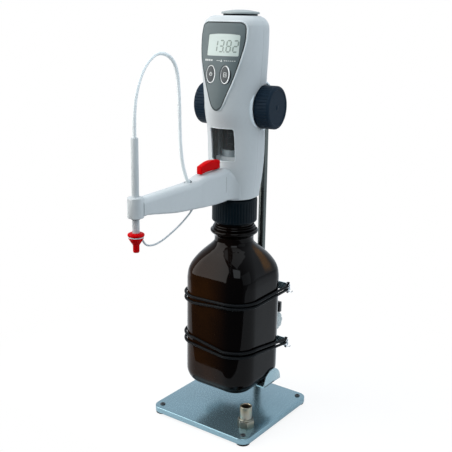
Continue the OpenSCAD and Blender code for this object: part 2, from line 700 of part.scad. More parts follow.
module drive_shaft() color([0.7, 0.71, 0.72]) at_head() translate([0, shaft_y, shaft_z]) difference() {
    end = wheel_gap + wheel_w - 4;
    along_x(-end) cylinder(d = shaft_d, h = 2 * end);
    for (s = [0, 1]) mirror([s, 0, 0]) along_x(end - 10) cylinder(r = cover_screw_r + running_gap, h = 11);
}

// Hand wheel with ribs, a rim and a sunk outer face
module handwheel() difference() {
    union() {
        cylinder(r1 = wheel_r - 1, r2 = wheel_r, h = 1);
        translate([0, 0, 1]) cylinder(r = wheel_r, h = wheel_w - 3);
        translate([0, 0, wheel_w - 2]) cylinder(r1 = wheel_r, r2 = wheel_r - 2, h = 2);
    }
    translate([0, 0, wheel_w - 2.5]) cylinder(r = wheel_r - 5, h = 3);
    translate([0, 0, -1]) cylinder(r = shaft_d / 2 + running_gap, h = wheel_w - 3);
    translate([0, 0, wheel_w - wheel_face_t]) cylinder(r = cover_screw_r + running_gap, h = wheel_face_t);
    for (a = [0 : 10 : 350]) rotate([0, 0, a]) translate([wheel_r + 0.4, 0, -1])
        cylinder(r = 1.2, h = wheel_w + 2, $fn = 16);
}
module right_handwheel() color([0.06, 0.08, 0.12]) at_head() translate([0, shaft_y, shaft_z])
    along_x(wheel_gap) handwheel();
module left_handwheel() color([0.06, 0.08, 0.12]) at_head() translate([0, shaft_y, shaft_z])
    mirror([1, 0, 0]) along_x(wheel_gap) handwheel();

module wheel_screws() color([0.6, 0.6, 0.62]) at_head() translate([0, shaft_y, shaft_z])
    for (s = [0, 1]) mirror([s, 0, 0]) {
        along_x(wheel_gap + wheel_w - 2.5) cylinder(r = 3.2, h = 1.6);
        along_x(wheel_gap + wheel_w - 11) cylinder(r = cover_screw_r, h = 9);
    }

module encoder_disc() color([0.12, 0.12, 0.13]) at_head() translate([0, shaft_y, shaft_z]) difference() {
    along_x(8) cylinder(r = encoder_r, h = 1);
    along_x(7) cylinder(r = shaft_d / 2 + running_gap, h = 3);
    for (a = [0 : 30 : 330]) rotate([a, 0, 0]) translate([0, 0, encoder_r - 2.5])
        along_x(7) cylinder(r = 1, h = 3, $fn = 16);
}

module shaft_bearings() color([0.72, 0.62, 0.4]) at_head() translate([0, shaft_y, shaft_z])
    for (s = [0, 1]) mirror([s, 0, 0]) difference() {
        union() {
            along_x(block_hw) cylinder(r = 6, h = wheel_gap - block_hw - 0.4);
            along_x(frame_hw) cylinder(r = 8, h = 1.5);
        }
        along_x(block_hw - 1) cylinder(r = shaft_d / 2 + running_gap, h = wheel_gap);
    }

module pump_frame() color([0.62, 0.64, 0.66]) at_head() difference() {
    union() {
        for (s = [0, 1]) mirror([s, 0, 0])
            box_from([block_hw, frame_front, block_low + 3], [frame_hw, frame_back, bridge_z + frame_t]);
        box_from([-block_hw - 1, rack_pitch_y + 2.6, bridge_z],
            [block_hw + 1, frame_back, bridge_z + frame_t]);
    }
    for (s = [0, 1]) mirror([s, 0, 0]) translate([0, shaft_y, shaft_z])
        along_x(block_hw - 1) cylinder(r = 6 + running_gap, h = frame_t + 2);
}

module head_floor() color([0.5, 0.52, 0.54]) at_head() difference() {
    front = half_outline(0, -1, wall + cover_gap, 16, 0);
    back = half_outline(0, 1, wall + cover_gap, 16, 0);
    linear_extrude(floor_t) polygon(concat([for (p = front) [p.x, p.y]],
        [for (i = [len(back) - 2 : -1 : 1]) [back[i].x, back[i].y]]));
    translate([0, 0, -1]) cylinder(r = adapter_neck_r + running_gap, h = floor_t + 2);
}

// Covers of the head
module arm_cut(grow) loft([for (r = arm_rows) if (r[0] < 61) arm_ring(r, grow)]);
module button_shape(grow, from_y, to_y, x)
    translate([x, -button_neck_y, button_z]) rotate([90 - button_tilt, 0, 0])
        translate([0, 0, -button_neck_y - to_y]) linear_extrude(to_y - from_y)
            rounded_rect(button_w + 2 * grow, button_l + 2 * grow, button_w / 2 + grow - 0.01);
module cover(side) difference() {
    loft([for (z = head_levels) half_outline(z, side, 0, 22, 0)], side < 0);
    loft(concat([half_at(-1, 0, side)],
        [for (z = head_levels) if (z < head_h - roof_t - 2) half_outline(z, side, wall, 22, 2)],
        [half_at(head_h - roof_t, head_h - roof_t, side)]), side < 0);
    translate([top_cap_x, 0, head_h - roof_t - 3]) cylinder(r = cap_spigot_r + cover_gap, h = 10);
}
function half_at(z, source_z, side) =
    [for (p = half_outline(max(source_z, 0), side, wall, 22, 2)) [p.x, p.y, z]];
module wheel_recess() for (s = [0, 1]) mirror([s, 0, 0]) translate([0, shaft_y, shaft_z]) {
    along_x(wheel_gap - 0.4) cylinder(r = wheel_r + 1.2, h = 12);
    along_x(wheel_gap - 12) cylinder(r = 6 + cover_gap, h = 14);
}
module bosses(side) intersection() {
    union() {
        for (s = [0, 1]) mirror([s, 0, 0]) translate([0, shaft_y, shaft_z])
            along_x(wheel_gap - 3) cylinder(r = wheel_r - 1, h = wheel_boss_t);
        for (p = boss_places) translate([p[0], 0, p[1]]) along_front(45) cylinder(r = boss_r, h = 90);
    }
    box_from([-45, side < 0 ? -50 : head_mid_y, 5], [45, side < 0 ? head_mid_y : 45, 205]);
    loft([for (z = head_levels) half_outline(z, side, 1, 22, 0)], side < 0);
}
module front_cover() color([0.72, 0.75, 0.77]) at_head() difference() {
    union() {
        cover(-1);
        bosses(-1);
    }
    wheel_recess();
    arm_cut(cover_gap);
    translate([0, 0, window_low + window_h / 2]) along_front(-10) linear_extrude(60)
        rounded_rect(2 * window_hw, window_h, window_corner_r);
    translate([0, 0, display_low + display_h / 2]) along_front(-10) linear_extrude(60)
        rounded_rect(2 * display_hw, display_h, 1);
    for (s = [-1, 1]) button_shape(0.4, -60, -30, s * button_x);
    for (p = boss_places) translate([p[0], 0, p[1]])
        along_front(0) cylinder(r = cover_screw_r + running_gap, h = -cover_screw_end + 1);
}

module rear_cover() color([0.72, 0.75, 0.77]) at_head() difference() {
    union() {
        cover(1);
        bosses(1);
    }
    wheel_recess();
    box_from([-door_hw, 15, door_low], [door_hw, 45, door_low + door_h]);
    for (p = boss_places) translate([p[0], 0, p[1]]) {
        along_front(45) cylinder(r = cover_screw_r + running_gap, h = 55);
        along_front(45) cylinder(r = cover_screw_head_r + cover_gap, h = 45 - screw_seat(p));
    }
}

// Depth of the seat under a cover screw's head
function screw_seat(p) = head_y(abs(p[0]) + cover_screw_head_r, p[1], 1) - cover_screw_head_h;
module housing_screws() color([0.55, 0.55, 0.57]) at_head()
    for (p = boss_places) translate([p[0], 0, p[1]]) difference() {
        union() {
            along_front(screw_seat(p) + cover_screw_head_h)
                cylinder(r = cover_screw_head_r, h = cover_screw_head_h);
            along_front(screw_seat(p)) cylinder(r = cover_screw_r, h = screw_seat(p) - cover_screw_end);
        }
        along_front(screw_seat(p) + cover_screw_head_h + 1) cylinder(r = 1.4, h = 2, $fn = 6);
    }

module window_pane() color([0.6, 0.68, 0.7, 0.4]) at_head() intersection() {
    patch([for (i = [0 : 8]) [window_low + 0.2 + (window_h - 0.4) * i / 8, window_hw - 0.2]],
        -pane_proud, pane_t - pane_proud);
    translate([0, 0, window_low + window_h / 2]) along_front(-10) linear_extrude(60)
        rounded_rect(2 * window_hw - 0.5, window_h - 0.5, window_corner_r);
}

module control_panel() color([0.25, 0.27, 0.28]) at_head() difference() {
    patch(panel_rows, -panel_gap - panel_t, -panel_gap, 16);
    translate([0, 0, display_low + display_h / 2]) along_front(-10) linear_extrude(60)
        rounded_rect(2 * display_hw, display_h, 1);
    for (s = [-1, 1]) button_shape(0.4, -60, -30, s * button_x);
}

module display_lens() color([0.75, 0.8, 0.74]) at_head() patch([for (i = [0 : 5])
    [display_low + 0.2 + (display_h - 0.4) * i / 5, display_hw - 0.2]], -lens_proud, pane_t - lens_proud);

module lcd_module() color([0.4, 0.45, 0.4]) at_head()
    box_from([-21, board_y - 3.8, display_low - 2], [21, board_y, display_low + display_h + 2]);

module circuit_board() color([0.05, 0.35, 0.18]) at_head() {
    box_from([-board_hw, board_y, board_low], [board_hw, board_y + board_t, board_low + board_h]);
    for (s = [-1, 1]) translate([s * button_x, board_y + 0.1, button_z - 1.4]) along_front(0)
        cylinder(r = 2, h = -board_y - button_stem_end - button_travel + switch_past);
}

module button(x) at_head() {
    button_shape(0, -button_neck_y - button_proud, -button_neck_y + flange_in + 0.1, x);
    button_shape(0.9, -button_neck_y + flange_in, -button_neck_y + flange_in + 1.2, x);
    translate([x, -button_neck_y, button_z]) rotate([90 - button_tilt, 0, 0])
        translate([0, 0, -button_neck_y + button_stem_end])
            cylinder(r = 2.4, h = button_neck_y - button_stem_end);
}
module power_button() color([0.2, 0.21, 0.23]) button(-button_x);
module clear_button() color([0.2, 0.21, 0.23]) button(button_x);

module battery_holder() color([0.15, 0.15, 0.16]) at_head() difference() {
    low = bridge_z + frame_t;
    box_from([-holder_hw, battery_y - 8, low], [holder_hw, battery_y + battery_r + 1.2, low + battery_l + 6]);
    for (x = [-battery_x, battery_x]) translate([x, battery_y, low + 2])
        cylinder(r = battery_r + cover_gap, h = battery_l + 1);
    box_from([-holder_hw + 2, battery_y, low + 2], [holder_hw - 2, battery_y + 20, low + battery_l + 3]);
}

module batteries() color([0.75, 0.6, 0.3]) at_head() for (x = [-battery_x, battery_x])
    translate([x, battery_y, bridge_z + frame_t + 2.2]) {
        cylinder(r = battery_r, h = battery_l - 1.5);
        cylinder(r = 1.9, h = battery_l);
    }

module battery_door() color([0.7, 0.73, 0.75]) at_head() {
    gap = cover_gap;
    box_from([-door_hw + gap, door_y, door_low + gap],
        [door_hw - gap, door_y + door_t, door_low + door_h - gap]);
    for (z = [0 : 2]) translate([0, door_y + door_t - 0.2, door_low + 30 + 3 * z])
        box_from([-5, 0, 0], [5, 0.8, 1.4]);
}

module cap_gasket() color([0.1, 0.1, 0.11]) at_head() translate([top_cap_x, 0, head_h]) difference() {
    cylinder(r = top_cap_r - 2.2, h = gasket_t);
    translate([0, 0, -1]) cylinder(r = cap_spigot_r + cover_gap, h = 4);
}

module top_cap() color([0.9, 0.91, 0.92]) at_head()
    translate([top_cap_x, 0, head_h + gasket_t]) difference() {
    dome_h = 4.8;
    dome_r = (pow(top_cap_r, 2) + pow(dome_h - 2, 2)) / (2 * (dome_h - 2));
    union() {
        cylinder(r = top_cap_r, h = 2);
        intersection() {
            translate([0, 0, dome_h - dome_r]) sphere(dome_r, $fn = 128);
            cylinder(r = top_cap_r, h = dome_h + 1);
        }
        translate([0, 0, -cap_spigot_l]) cylinder(r = cap_spigot_r, h = cap_spigot_l + 1);
    }
    translate([0, 0, -cap_spigot_l - 1]) cylinder(r = cap_spigot_r - 2, h = cap_spigot_l + 1);
}

// Discharge arm, as a loft of rounded outlines
function arm_reach(d) = d < arm_root_l ? d : arm_root_l
    + (d - arm_root_l) * (tube_reach - tip_seat_l - arm_root_l) / (arm_rows_l - arm_root_l);
function arm_ring(row, grow) = let (mid = (row[2] + row[3]) / 2, half = (row[3] - row[2]) / 2 + grow,
        p = 2 / arm_squareness)
    [for (i = [0 : arm_sides - 1]) let (a = 360 * i / arm_sides)
        [(row[1] + grow) * sign_power(cos(a), p), -arm_reach(row[0]), mid + half * sign_power(sin(a), p)]];
function moved_row(row, y) = [y, row[1], row[2], row[3]];
module hose_hole_place() translate([0, -hose_hole_y, hose_hole_z]) rotate([hose_lean, 0, 0]) children();
module discharge_arm() color([0.74, 0.77, 0.79]) at_head() difference() {
    loft([for (r = arm_rows) arm_ring(r, 0)]);
    difference() {
        loft(concat([arm_ring(moved_row(arm_rows[0], arm_rows[0][0] - 1), -arm_wall)],
            [for (r = arm_rows) if (r[0] < 185) arm_ring(r, -arm_wall)]));
        translate([0, -lever_y, 0]) cylinder(r = valve_r, h = 40);
    }
    translate([0, -lever_y, spindle_low]) cylinder(r = spindle_d / 2 + running_gap, h = 40);
    translate([0, -lever_y, duct_z]) rotate([90, 0, 0])
        cylinder(r = duct_r, h = 2 * valve_r + 2, center = true);
    hose_hole_place() translate([0, 0, -8]) cylinder(r = fitting_d / 2 + 1.3, h = 14);
}

module arm_duct() color([0.86, 0.88, 0.9]) at_head() {
    valve = lever_y + valve_r;
    translate([0, 0, duct_z]) along_front(-valve - 0.2) cylinder(r = duct_r, h = hose_hole_y - valve - 9);
    translate([0, 0, duct_z]) along_front(block_front - 0.2)
        cylinder(r = duct_r, h = lever_y + block_front - valve_r - 0.4);
    hose_hole_place() translate([0, 0, -fitting_l]) cylinder(r = fitting_d / 2, h = fitting_l + 0.6);
    translate([0, -hose_hole_y + 10, duct_z]) sphere(3.2);
}

module arm_seals() color([0.06, 0.06, 0.06]) at_head() {
    hose_hole_place() translate([0, 0, -1.2]) difference() {
        cylinder(r = fitting_d / 2 + 1.2, h = 2.2);
        translate([0, 0, -1]) cylinder(r = fitting_d / 2 + running_gap, h = 5);
    }
    translate([0, -tube_reach, tip_low - 1.2]) difference() {
        cylinder(r = tube_d / 2 + 1.3, h = 1.2);
        translate([0, 0, -1]) cylinder(r = tube_d / 2 + running_gap, h = 5);
    }
}

module valve_lever() color([0.75, 0.05, 0.05]) at_head() translate([0, -lever_y, lever_z]) difference() {
    union() {
        cylinder(r = 7, h = lever_h);
        translate([0, 0, lever_h]) cylinder(r1 = 7, r2 = 7 - lever_rim, h = lever_rim);
        hull() {
            translate([0, -3, 0.6]) cylinder(r = 5.4, h = lever_h, $fn = 32);
            translate([0, -lever_l + 3, 1]) cylinder(r = 3.4, h = lever_h - 1.4, $fn = 32);
        }
    }
    translate([0, 0, -1]) cylinder(r = spindle_d / 4 + running_gap, h = 7);
}

module valve_spindle() color([0.88, 0.89, 0.9]) at_head() translate([0, -lever_y, spindle_low + 1])
    difference() {
        union() {
            cylinder(d = spindle_d, h = spindle_l);
            cylinder(d = spindle_d / 2, h = lever_pin_l);
        }
        translate([0, 0, duct_z - spindle_low - 1]) rotate([90, 0, 0])
            cylinder(r = 1.2, h = 20, center = true);
    }

module tip_holder() color([0.74, 0.77, 0.79]) at_head() difference() {
    union() {
        translate([0, -tube_reach, tip_low]) cylinder(r = tip_r, h = tip_h - 1.5);
        translate([0, -tube_reach, tip_low + tip_h - 1.5]) cylinder(r1 = tip_r, r2 = tip_r - 1.5, h = 1.5);
        box_from([-tip_seat_hw, -tube_reach, tip_low + 1.6],
            [tip_seat_hw, tip_seat_l - tube_reach, tip_low + tip_h - 2.7]);
    }
    translate([0, -tube_reach, tip_low - 1]) cylinder(r = tube_d / 2 + running_gap, h = tip_h + 2);
}

module titration_tube() color([0.8, 0.83, 0.85]) at_head() translate([0, -tube_reach, 0]) difference() {
    union() {
        translate([0, 0, tube_low]) cylinder(d = tube_d, h = tube_top - tube_low);
        translate([0, 0, tube_low - nozzle_l]) cylinder(d = nozzle_d, h = nozzle_l + 1);
    }
    translate([0, 0, tube_low + 1]) cylinder(r = 1.6, h = tube_top);
    translate([0, 0, tube_low - nozzle_l - 1]) cylinder(r = 0.6, h = nozzle_l + 4);
}

function in_plane(route) = [for (p = route) [0, p[0], p[1]]];
module discharge_hose() color([0.93, 0.95, 0.96]) at_head()
    tube_along(in_plane(hose_route), hose_d / 2, 8, [1, 0, 0]);
module cap_tether() color([0.75, 0.77, 0.79]) at_head()
    tube_along(in_plane(tether_route), tether_d / 2, 8, [1, 0, 0]);

module tip_cap() color([0.75, 0.05, 0.05]) at_head() translate([0, -tube_reach, 0]) difference() {
    union() {
        translate([0, 0, -6.9]) cylinder(r = cap_r, h = 7.3);
        translate([0, 0, -8.2]) cylinder(r = cap_r - 1.4, h = 1.5);
        translate([0, 0, -10.2]) cylinder(r = cap_r - 0.3, h = 2.1);
        translate([0, 0, -13]) cylinder(r1 = 3.3, r2 = cap_r - 0.3, h = 2.8);
        translate([0, 0, -22]) cylinder(r = 3.3, h = 9.5);
    }
    translate([0, 0, tube_low - 0.5]) cylinder(r = tube_d / 2 + cover_gap, h = 30);
    translate([0, 0, tube_low - nozzle_l - 0.5]) cylinder(r = nozzle_d / 2 + cover_gap, h = 10);
}

base_plate();
rubber_feet();
foot_screws();
stand_rod();
rod_screw();
stand_socket();
socket_nut();
rod_clamp();
clamp_knob();
holder_back();
holder_fork();
bracket_screws();
strap_hooks();
upper_strap();
lower_strap();
bottle();
collar_nut();
neck_adapter();
suction_tube();
valve_block();
cylinder_base();
glass_cylinder();
piston();
piston_seal();
piston_rack();
pinion();
drive_shaft();
left_handwheel();
right_handwheel();
wheel_screws();
encoder_disc();
shaft_bearings();
pump_frame();
head_floor();
front_cover();
rear_cover();
housing_screws();
window_pane();
control_panel();
display_lens();
lcd_module();
circuit_board();
power_button();
clear_button();
battery_holder();
batteries();
battery_door();
top_cap();
cap_gasket();
discharge_arm();
arm_duct();
arm_seals();
valve_lever();
valve_spindle();
tip_holder();
titration_tube();
discharge_hose();
tip_cap();
cap_tether();
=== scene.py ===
import json
import math

import bmesh
import bpy
from mathutils import Matrix, Vector


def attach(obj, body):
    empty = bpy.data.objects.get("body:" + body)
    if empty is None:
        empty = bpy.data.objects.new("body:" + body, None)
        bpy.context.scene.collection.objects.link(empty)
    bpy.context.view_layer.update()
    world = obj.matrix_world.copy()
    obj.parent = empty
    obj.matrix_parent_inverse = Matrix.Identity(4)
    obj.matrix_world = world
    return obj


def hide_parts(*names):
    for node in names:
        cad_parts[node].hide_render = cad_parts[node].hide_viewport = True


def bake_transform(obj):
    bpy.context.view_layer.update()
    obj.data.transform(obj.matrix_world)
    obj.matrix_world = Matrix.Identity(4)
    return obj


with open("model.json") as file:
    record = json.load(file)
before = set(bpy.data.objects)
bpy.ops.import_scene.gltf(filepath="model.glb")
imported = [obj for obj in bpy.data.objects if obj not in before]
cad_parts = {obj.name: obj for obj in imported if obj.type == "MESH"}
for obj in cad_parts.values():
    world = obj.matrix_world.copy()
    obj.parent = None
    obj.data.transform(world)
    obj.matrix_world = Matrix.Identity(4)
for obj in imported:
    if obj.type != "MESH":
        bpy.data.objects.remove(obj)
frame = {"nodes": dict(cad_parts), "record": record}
scene = bpy.context.scene
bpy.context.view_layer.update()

# Places and sizes that several pieces share, in millimetres
MM = 0.001
TURN = 2 * math.pi
HEAD_Z, HEAD_TURN = 285.0, 5.3
BOTTLE_Z = 40.6
BOTTLE_HALF, BOTTLE_CORNER, BOTTLE_FOOT = 49.0, 28.4, 22.0
COLLAR_Z = 253.0
STRAP_HEIGHTS = (122, 47)
ROD_Y = 62
SHAFT_Y, SHAFT_Z = 8.4, 107.4
TIP_REACH = 197
KEY_X, KEY_Z, KEY_HOLE = 9.2, 145.7, (13.0, 21.2)
WINDOW_Z, DOOR_Z = 65.4, 153
LEVER_Y = -45
DISPLAY_X, DISPLAY_HALF, DISPLAY_LOW, DISPLAY_HIGH = 3.8, 19.5, 166.0, 188.7

# Frames: the row's and the head's own, which is turned on the bottle
ROW = Matrix.Scale(MM, 4)
HEAD = Matrix.Translation((0, 0, HEAD_Z * MM)) @ Matrix.Rotation(math.radians(HEAD_TURN), 4, "Z") @ ROW


def at_row(x, y, z):
    return Matrix.Translation((x * MM, y * MM, z * MM)) @ ROW


def at_head(x, y, z, lean=0):
    """Place on the head, leaned about X by some degrees."""
    return HEAD @ Matrix.Translation((x, y, z)) @ Matrix.Rotation(math.radians(lean), 4, "X")


def along_x(x, flip=False, y=SHAFT_Y, z=SHAFT_Z):
    """Head place whose Z runs along the shaft, outwards to the right, or to the left when flipped."""
    side = HEAD @ Matrix.Scale(-1, 4, (1, 0, 0)) if flip else HEAD
    return side @ Matrix.Translation((x, y, z)) @ Matrix.Rotation(math.radians(90), 4, "Y")


def make_camera():
    """Camera at the photograph's place, solved from its perspective."""
    azimuth, elevation, roll = math.radians(35.79), math.radians(15.342), math.radians(0.906)
    level = math.cos(elevation)
    back = Vector((math.sin(azimuth) * level, -math.cos(azimuth) * level, math.sin(elevation)))
    right = Vector((math.cos(azimuth), math.sin(azimuth), 0))
    up = back.cross(right)
    x_axis = right * math.cos(roll) + up * math.sin(roll)
    y_axis = up * math.cos(roll) - right * math.sin(roll)
    data = bpy.data.cameras.new("camera")
    data.lens, data.sensor_width = 60.96, 36
    data.clip_start, data.clip_end = 0.02, 50
    cam = bpy.data.objects.new("camera", data)
    scene.collection.objects.link(cam)
    place = Matrix((x_axis, y_axis, back)).transposed().to_4x4()
    place.translation = (0.5211, -0.7401, 0.4938)
    cam.matrix_world = place
    scene.camera = cam


make_camera()
scene.view_settings.view_transform = "Standard"

# Materials
MATERIALS = {}


def link_or_set(tree, socket, value):
    if isinstance(value, bpy.types.NodeSocket):
        tree.links.new(value, socket)
    else:
        socket.default_value = value


def add_node(tree, kind, inputs=(), **settings):
    node = tree.nodes.new("ShaderNode" + kind)
    for k, v in settings.items():
        setattr(node, k, v)
    for k, v in dict(inputs).items():
        link_or_set(tree, node.inputs[k], v)
    return node


class Nodes:
    """A material and its node tree, with short calls for the nodes that are used most."""

    def __init__(self, name):
        self.mat = MATERIALS[name] = bpy.data.materials.new(name)
        self.mat.use_nodes = True
        self.tree = self.mat.node_tree
        self.bsdf = self.tree.nodes["Principled BSDF"]
        self.coords = self.new("TexCoord").outputs["Object"]

    def new(self, kind, inputs=(), **settings):
        return add_node(self.tree, kind, inputs, **settings)

    def surface(self, inputs):
        for k, v in inputs.items():
            link_or_set(self.tree, self.bsdf.inputs[k], v)

    def noise(self, scale, detail, vector=None):
        return self.new("TexNoise", {"Vector": vector or self.coords, "Scale": scale, "Detail": detail,
                                     "Roughness": 0.55}).outputs["Fac"]

    def ramp(self, fac, low, high, a, b, kind="LINEAR"):
        ends = {"From Min": low, "From Max": high, "To Min": a, "To Max": b}
        return self.new("MapRange", {"Value": fac, **ends}, interpolation_type=kind).outputs["Result"]

    def mix(self, fac, a, b):
        return self.new("Mix", {0: fac, 6: a, 7: b}, data_type="RGBA").outputs[2]

    def calc(self, kind, a, b):
        return self.new("Math", {0: a, 1: b}, operation=kind).outputs[0]

    def bump(self, height, strength, distance):
        bump = self.new("Bump", {"Height": height, "Strength": strength, "Distance": distance})
        self.surface({"Normal": bump.outputs["Normal"]})


def shade(color, k=1.0):
    return (*(min(1, x * k) for x in color), 1.0)


def finish(name, color, rough, metallic=0.0, spec=0.5, coat=0.0, vary=0.08, grain=2e-5, grain_scale=1400,
           stretch=None):
    """Procedural finish: slow and fine colour variation, uneven gloss and a fine grain or brushed bump."""
    m = Nodes(name)
    slow = m.noise(14, 3)
    fine = m.noise(260, 5)
    base = m.mix(m.ramp(slow, 0.35, 0.65, 0, 1), shade(color, 1 - vary), shade(color, 1 + vary))
    base = m.mix(m.ramp(fine, 0.3, 0.75, 0.0, 0.18), base, shade(color, 0.8))
    vector = m.coords
    if stretch:
        vector = m.new("Mapping", {"Vector": m.coords, "Scale": stretch}).outputs["Vector"]
    streak = m.noise(grain_scale, 3, vector)
    gloss = m.ramp(streak, 0.3, 0.7, rough * 0.75, rough * 1.25)
    m.surface({"Base Color": base, "Roughness": gloss, "Metallic": metallic, "Specular IOR Level": spec,
               "Coat Weight": coat, "Coat Roughness": 0.06})
    m.bump(streak, 0.35, grain)


def amber_glass():
    """Dark glass: near black, with light painted into its colour: brown where light comes through at the
    left, dark red further back on the left side and an amber glow on the right of the shoulder.
    """
    m = Nodes("amber_glass")
    xyz = m.new("SeparateXYZ", {"Vector": m.coords}).outputs

    def smooth(value, low, high):
        return m.ramp(value, low, high, 0, 1, "SMOOTHSTEP")

    def times(a, b):
        return m.calc("MULTIPLY", a, b)
    # Painted light: a brown patch on the left of the front face, where light comes through, fading out
    # towards the shoulder
    warp = m.ramp(m.noise(11, 3), 0.38, 0.62, 0.45, 1)
    brown = times(times(smooth(xyz["X"], 0.03, -0.008), smooth(xyz["Y"], 0.02, -0.04)), warp)
    brown = times(brown, m.ramp(xyz["Z"], 0.17, 0.225, 1, 0.15))
    base = m.mix(brown, shade((0.0012, 0.0008, 0.0008)), shade((0.022, 0.0075, 0.0013)))
    # Painted light: a dark red tint on the back half of the left face
    red = times(smooth(xyz["X"], -0.03, -0.05), smooth(xyz["Y"], -0.035, 0.0))
    base = m.mix(red, base, shade((0.012, 0.0016, 0.0008)))
    # Painted light: an amber glow on the right side of the shoulder
    band = times(smooth(xyz["Z"], 0.192, 0.206), smooth(xyz["Z"], 0.229, 0.215))
    bearing = m.calc("ARCTAN2", xyz["Y"], xyz["X"])
    side = times(smooth(bearing, -0.08, 0.1), smooth(bearing, 0.42, 0.22))
    glow = times(times(band, side), m.ramp(m.noise(45, 2), 0.38, 0.62, 0.6, 1))
    base = m.mix(glow, base, shade((0.085, 0.034, 0.003)))
    m.surface({"Base Color": base, "Roughness": m.ramp(m.noise(60, 3), 0.3, 0.7, 0.03, 0.08), "IOR": 1.19,
               "Specular IOR Level": 0.5})
    m.bump(m.noise(20, 2), 0.4, 0.0006)


def clear_glass(name, color, alpha, rough):
    m = Nodes(name)
    base = m.mix(m.ramp(m.noise(40, 3), 0.3, 0.7, 0, 1), shade(color), shade(color, 0.8))
    gloss = m.ramp(m.noise(90, 3), 0.3, 0.7, rough * 0.7, rough * 1.3)
    veil = m.ramp(m.noise(30, 2), 0.3, 0.7, alpha * 0.85, alpha * 1.1)
    m.surface({"Base Color": base, "Roughness": gloss, "Specular IOR Level": 0.2, "Alpha": veil})
    m.bump(m.noise(150, 2), 0.1, 3e-5)


def plated_post():
    """Yellow-chromated steel: grey with straw, pink and green patches."""
    m = Nodes("plated_post")
    base = m.mix(m.ramp(m.noise(70, 3), 0.35, 0.65, 0, 1), shade((0.26, 0.27, 0.245)),
                 shade((0.31, 0.275, 0.2)))
    base = m.mix(m.ramp(m.noise(110, 3), 0.5, 0.68, 0, 0.7), base, shade((0.2, 0.3, 0.245)))
    base = m.mix(m.ramp(m.noise(150, 2), 0.58, 0.72, 0, 0.6), base, shade((0.31, 0.22, 0.2)))
    gloss = m.ramp(m.noise(500, 3), 0.3, 0.7, 0.28, 0.4)
    m.surface({"Base Color": base, "Metallic": 1.0, "Roughness": gloss})
    m.bump(m.noise(900, 3), 0.3, 5e-5)


# Metals
for name, color, coat in (("coated_metal", (0.32, 0.445, 0.49), 0.15),
                          ("plate_metal", (0.205, 0.325, 0.38), 0.1)):
    finish(name, color, 0.24, metallic=0.8, coat=coat, vary=0.05, grain=1e-5, grain_scale=900)
finish("steel_rod", (0.125, 0.14, 0.135), 0.24, metallic=1.0, stretch=(1, 1, 0.04))
plated_post()
finish("screw_steel", (0.50, 0.50, 0.52), 0.3, metallic=1.0)
finish("dark_screw", (0.025, 0.03, 0.035), 0.4, metallic=0.3)
finish("hook_chrome", (0.85, 0.87, 0.89), 0.16, metallic=0.85, vary=0.05)
finish("frame_metal", (0.21, 0.265, 0.29), 0.4, metallic=0.2)
finish("bearing_brass", (0.55, 0.42, 0.2), 0.3, metallic=1.0)
# Glass
amber_glass()
clear_glass("clear_window", (0.3, 0.33, 0.34), 0.05, 0.05)
clear_glass("cylinder_glass", (0.006, 0.008, 0.009), 0.9, 0.06)
# Plastics and rubber
finish("clamp_black", (0.02, 0.02, 0.022), 0.38, coat=0.2)
finish("knob_white", (0.40, 0.46, 0.465), 0.35)
finish("black_rubber", (0.003, 0.004, 0.005), 0.45, spec=0.08, grain=4e-5, grain_scale=900)
finish("dark_plastic", (0.008, 0.018, 0.031), 0.45, spec=0.06, grain=3e-5, grain_scale=1800)
# The wheels' dark plastic made darker still for the collar: painted shade from the head above
finish("collar_plastic", (0.0008, 0.0045, 0.0075), 0.4, spec=0.1, grain=3e-5, grain_scale=1800)
finish("head_plastic", (0.47, 0.505, 0.52), 0.4, spec=0.4, vary=0.02, grain=1.2e-5, grain_scale=2600)
# Head plastic made lighter for the lips round the wheels: a painted highlight
finish("fairing", (0.66, 0.74, 0.78), 0.3, vary=0.02)
# Near black for the covers' inner faces: painted shade inside the head
finish("inner_painted_shade", (0.03, 0.034, 0.035), 0.6, spec=0.2)
finish("seam_dark", (0.05, 0.055, 0.06), 0.6)
finish("cap_white", (0.31, 0.35, 0.355), 0.4, spec=0.25, vary=0.03)
finish("red_plastic", (0.50, 0.0008, 0.0025), 0.4, spec=0.03, vary=0.06)
finish("ptfe", (0.50, 0.56, 0.59), 0.4)
finish("hose_ptfe", (0.76, 0.81, 0.82), 0.3, vary=0.05, coat=0.2)
finish("tether_nylon", (0.42, 0.46, 0.49), 0.45)
# Panel, display and electronics
finish("panel_plastic", (0.115, 0.143, 0.149), 0.4, spec=0.12, vary=0.1)
# Lighter than the head's plastic: a painted highlight on the rims of the panel and window and in the tip
# cap's groove
finish("panel_rim", (0.58, 0.63, 0.65), 0.3)
finish("lcd_glass", (0.50, 0.575, 0.55), 0.3, spec=0.15, vary=0.03)
finish("lcd_digit", (0.21, 0.26, 0.235), 0.4)
finish("print_light", (0.55, 0.58, 0.58), 0.45)
finish("button_plastic", (0.05, 0.06, 0.065), 0.38, spec=0.3)
finish("silver_ring", (0.72, 0.75, 0.76), 0.28, metallic=0.25)
# Near black for the gaps round the keys and the line inside the panel's rim: painted shade
finish("key_gap", (0.006, 0.007, 0.008), 0.5, spec=0.2)
finish("board_green", (0.02, 0.16, 0.06), 0.4)
finish("cell_wrap", (0.5, 0.38, 0.12), 0.3, metallic=0.6)


# Mesh making
def soften(o, angle=35):
    o.data.shade_smooth()
    o.data.set_sharp_from_angle(angle=math.radians(angle))


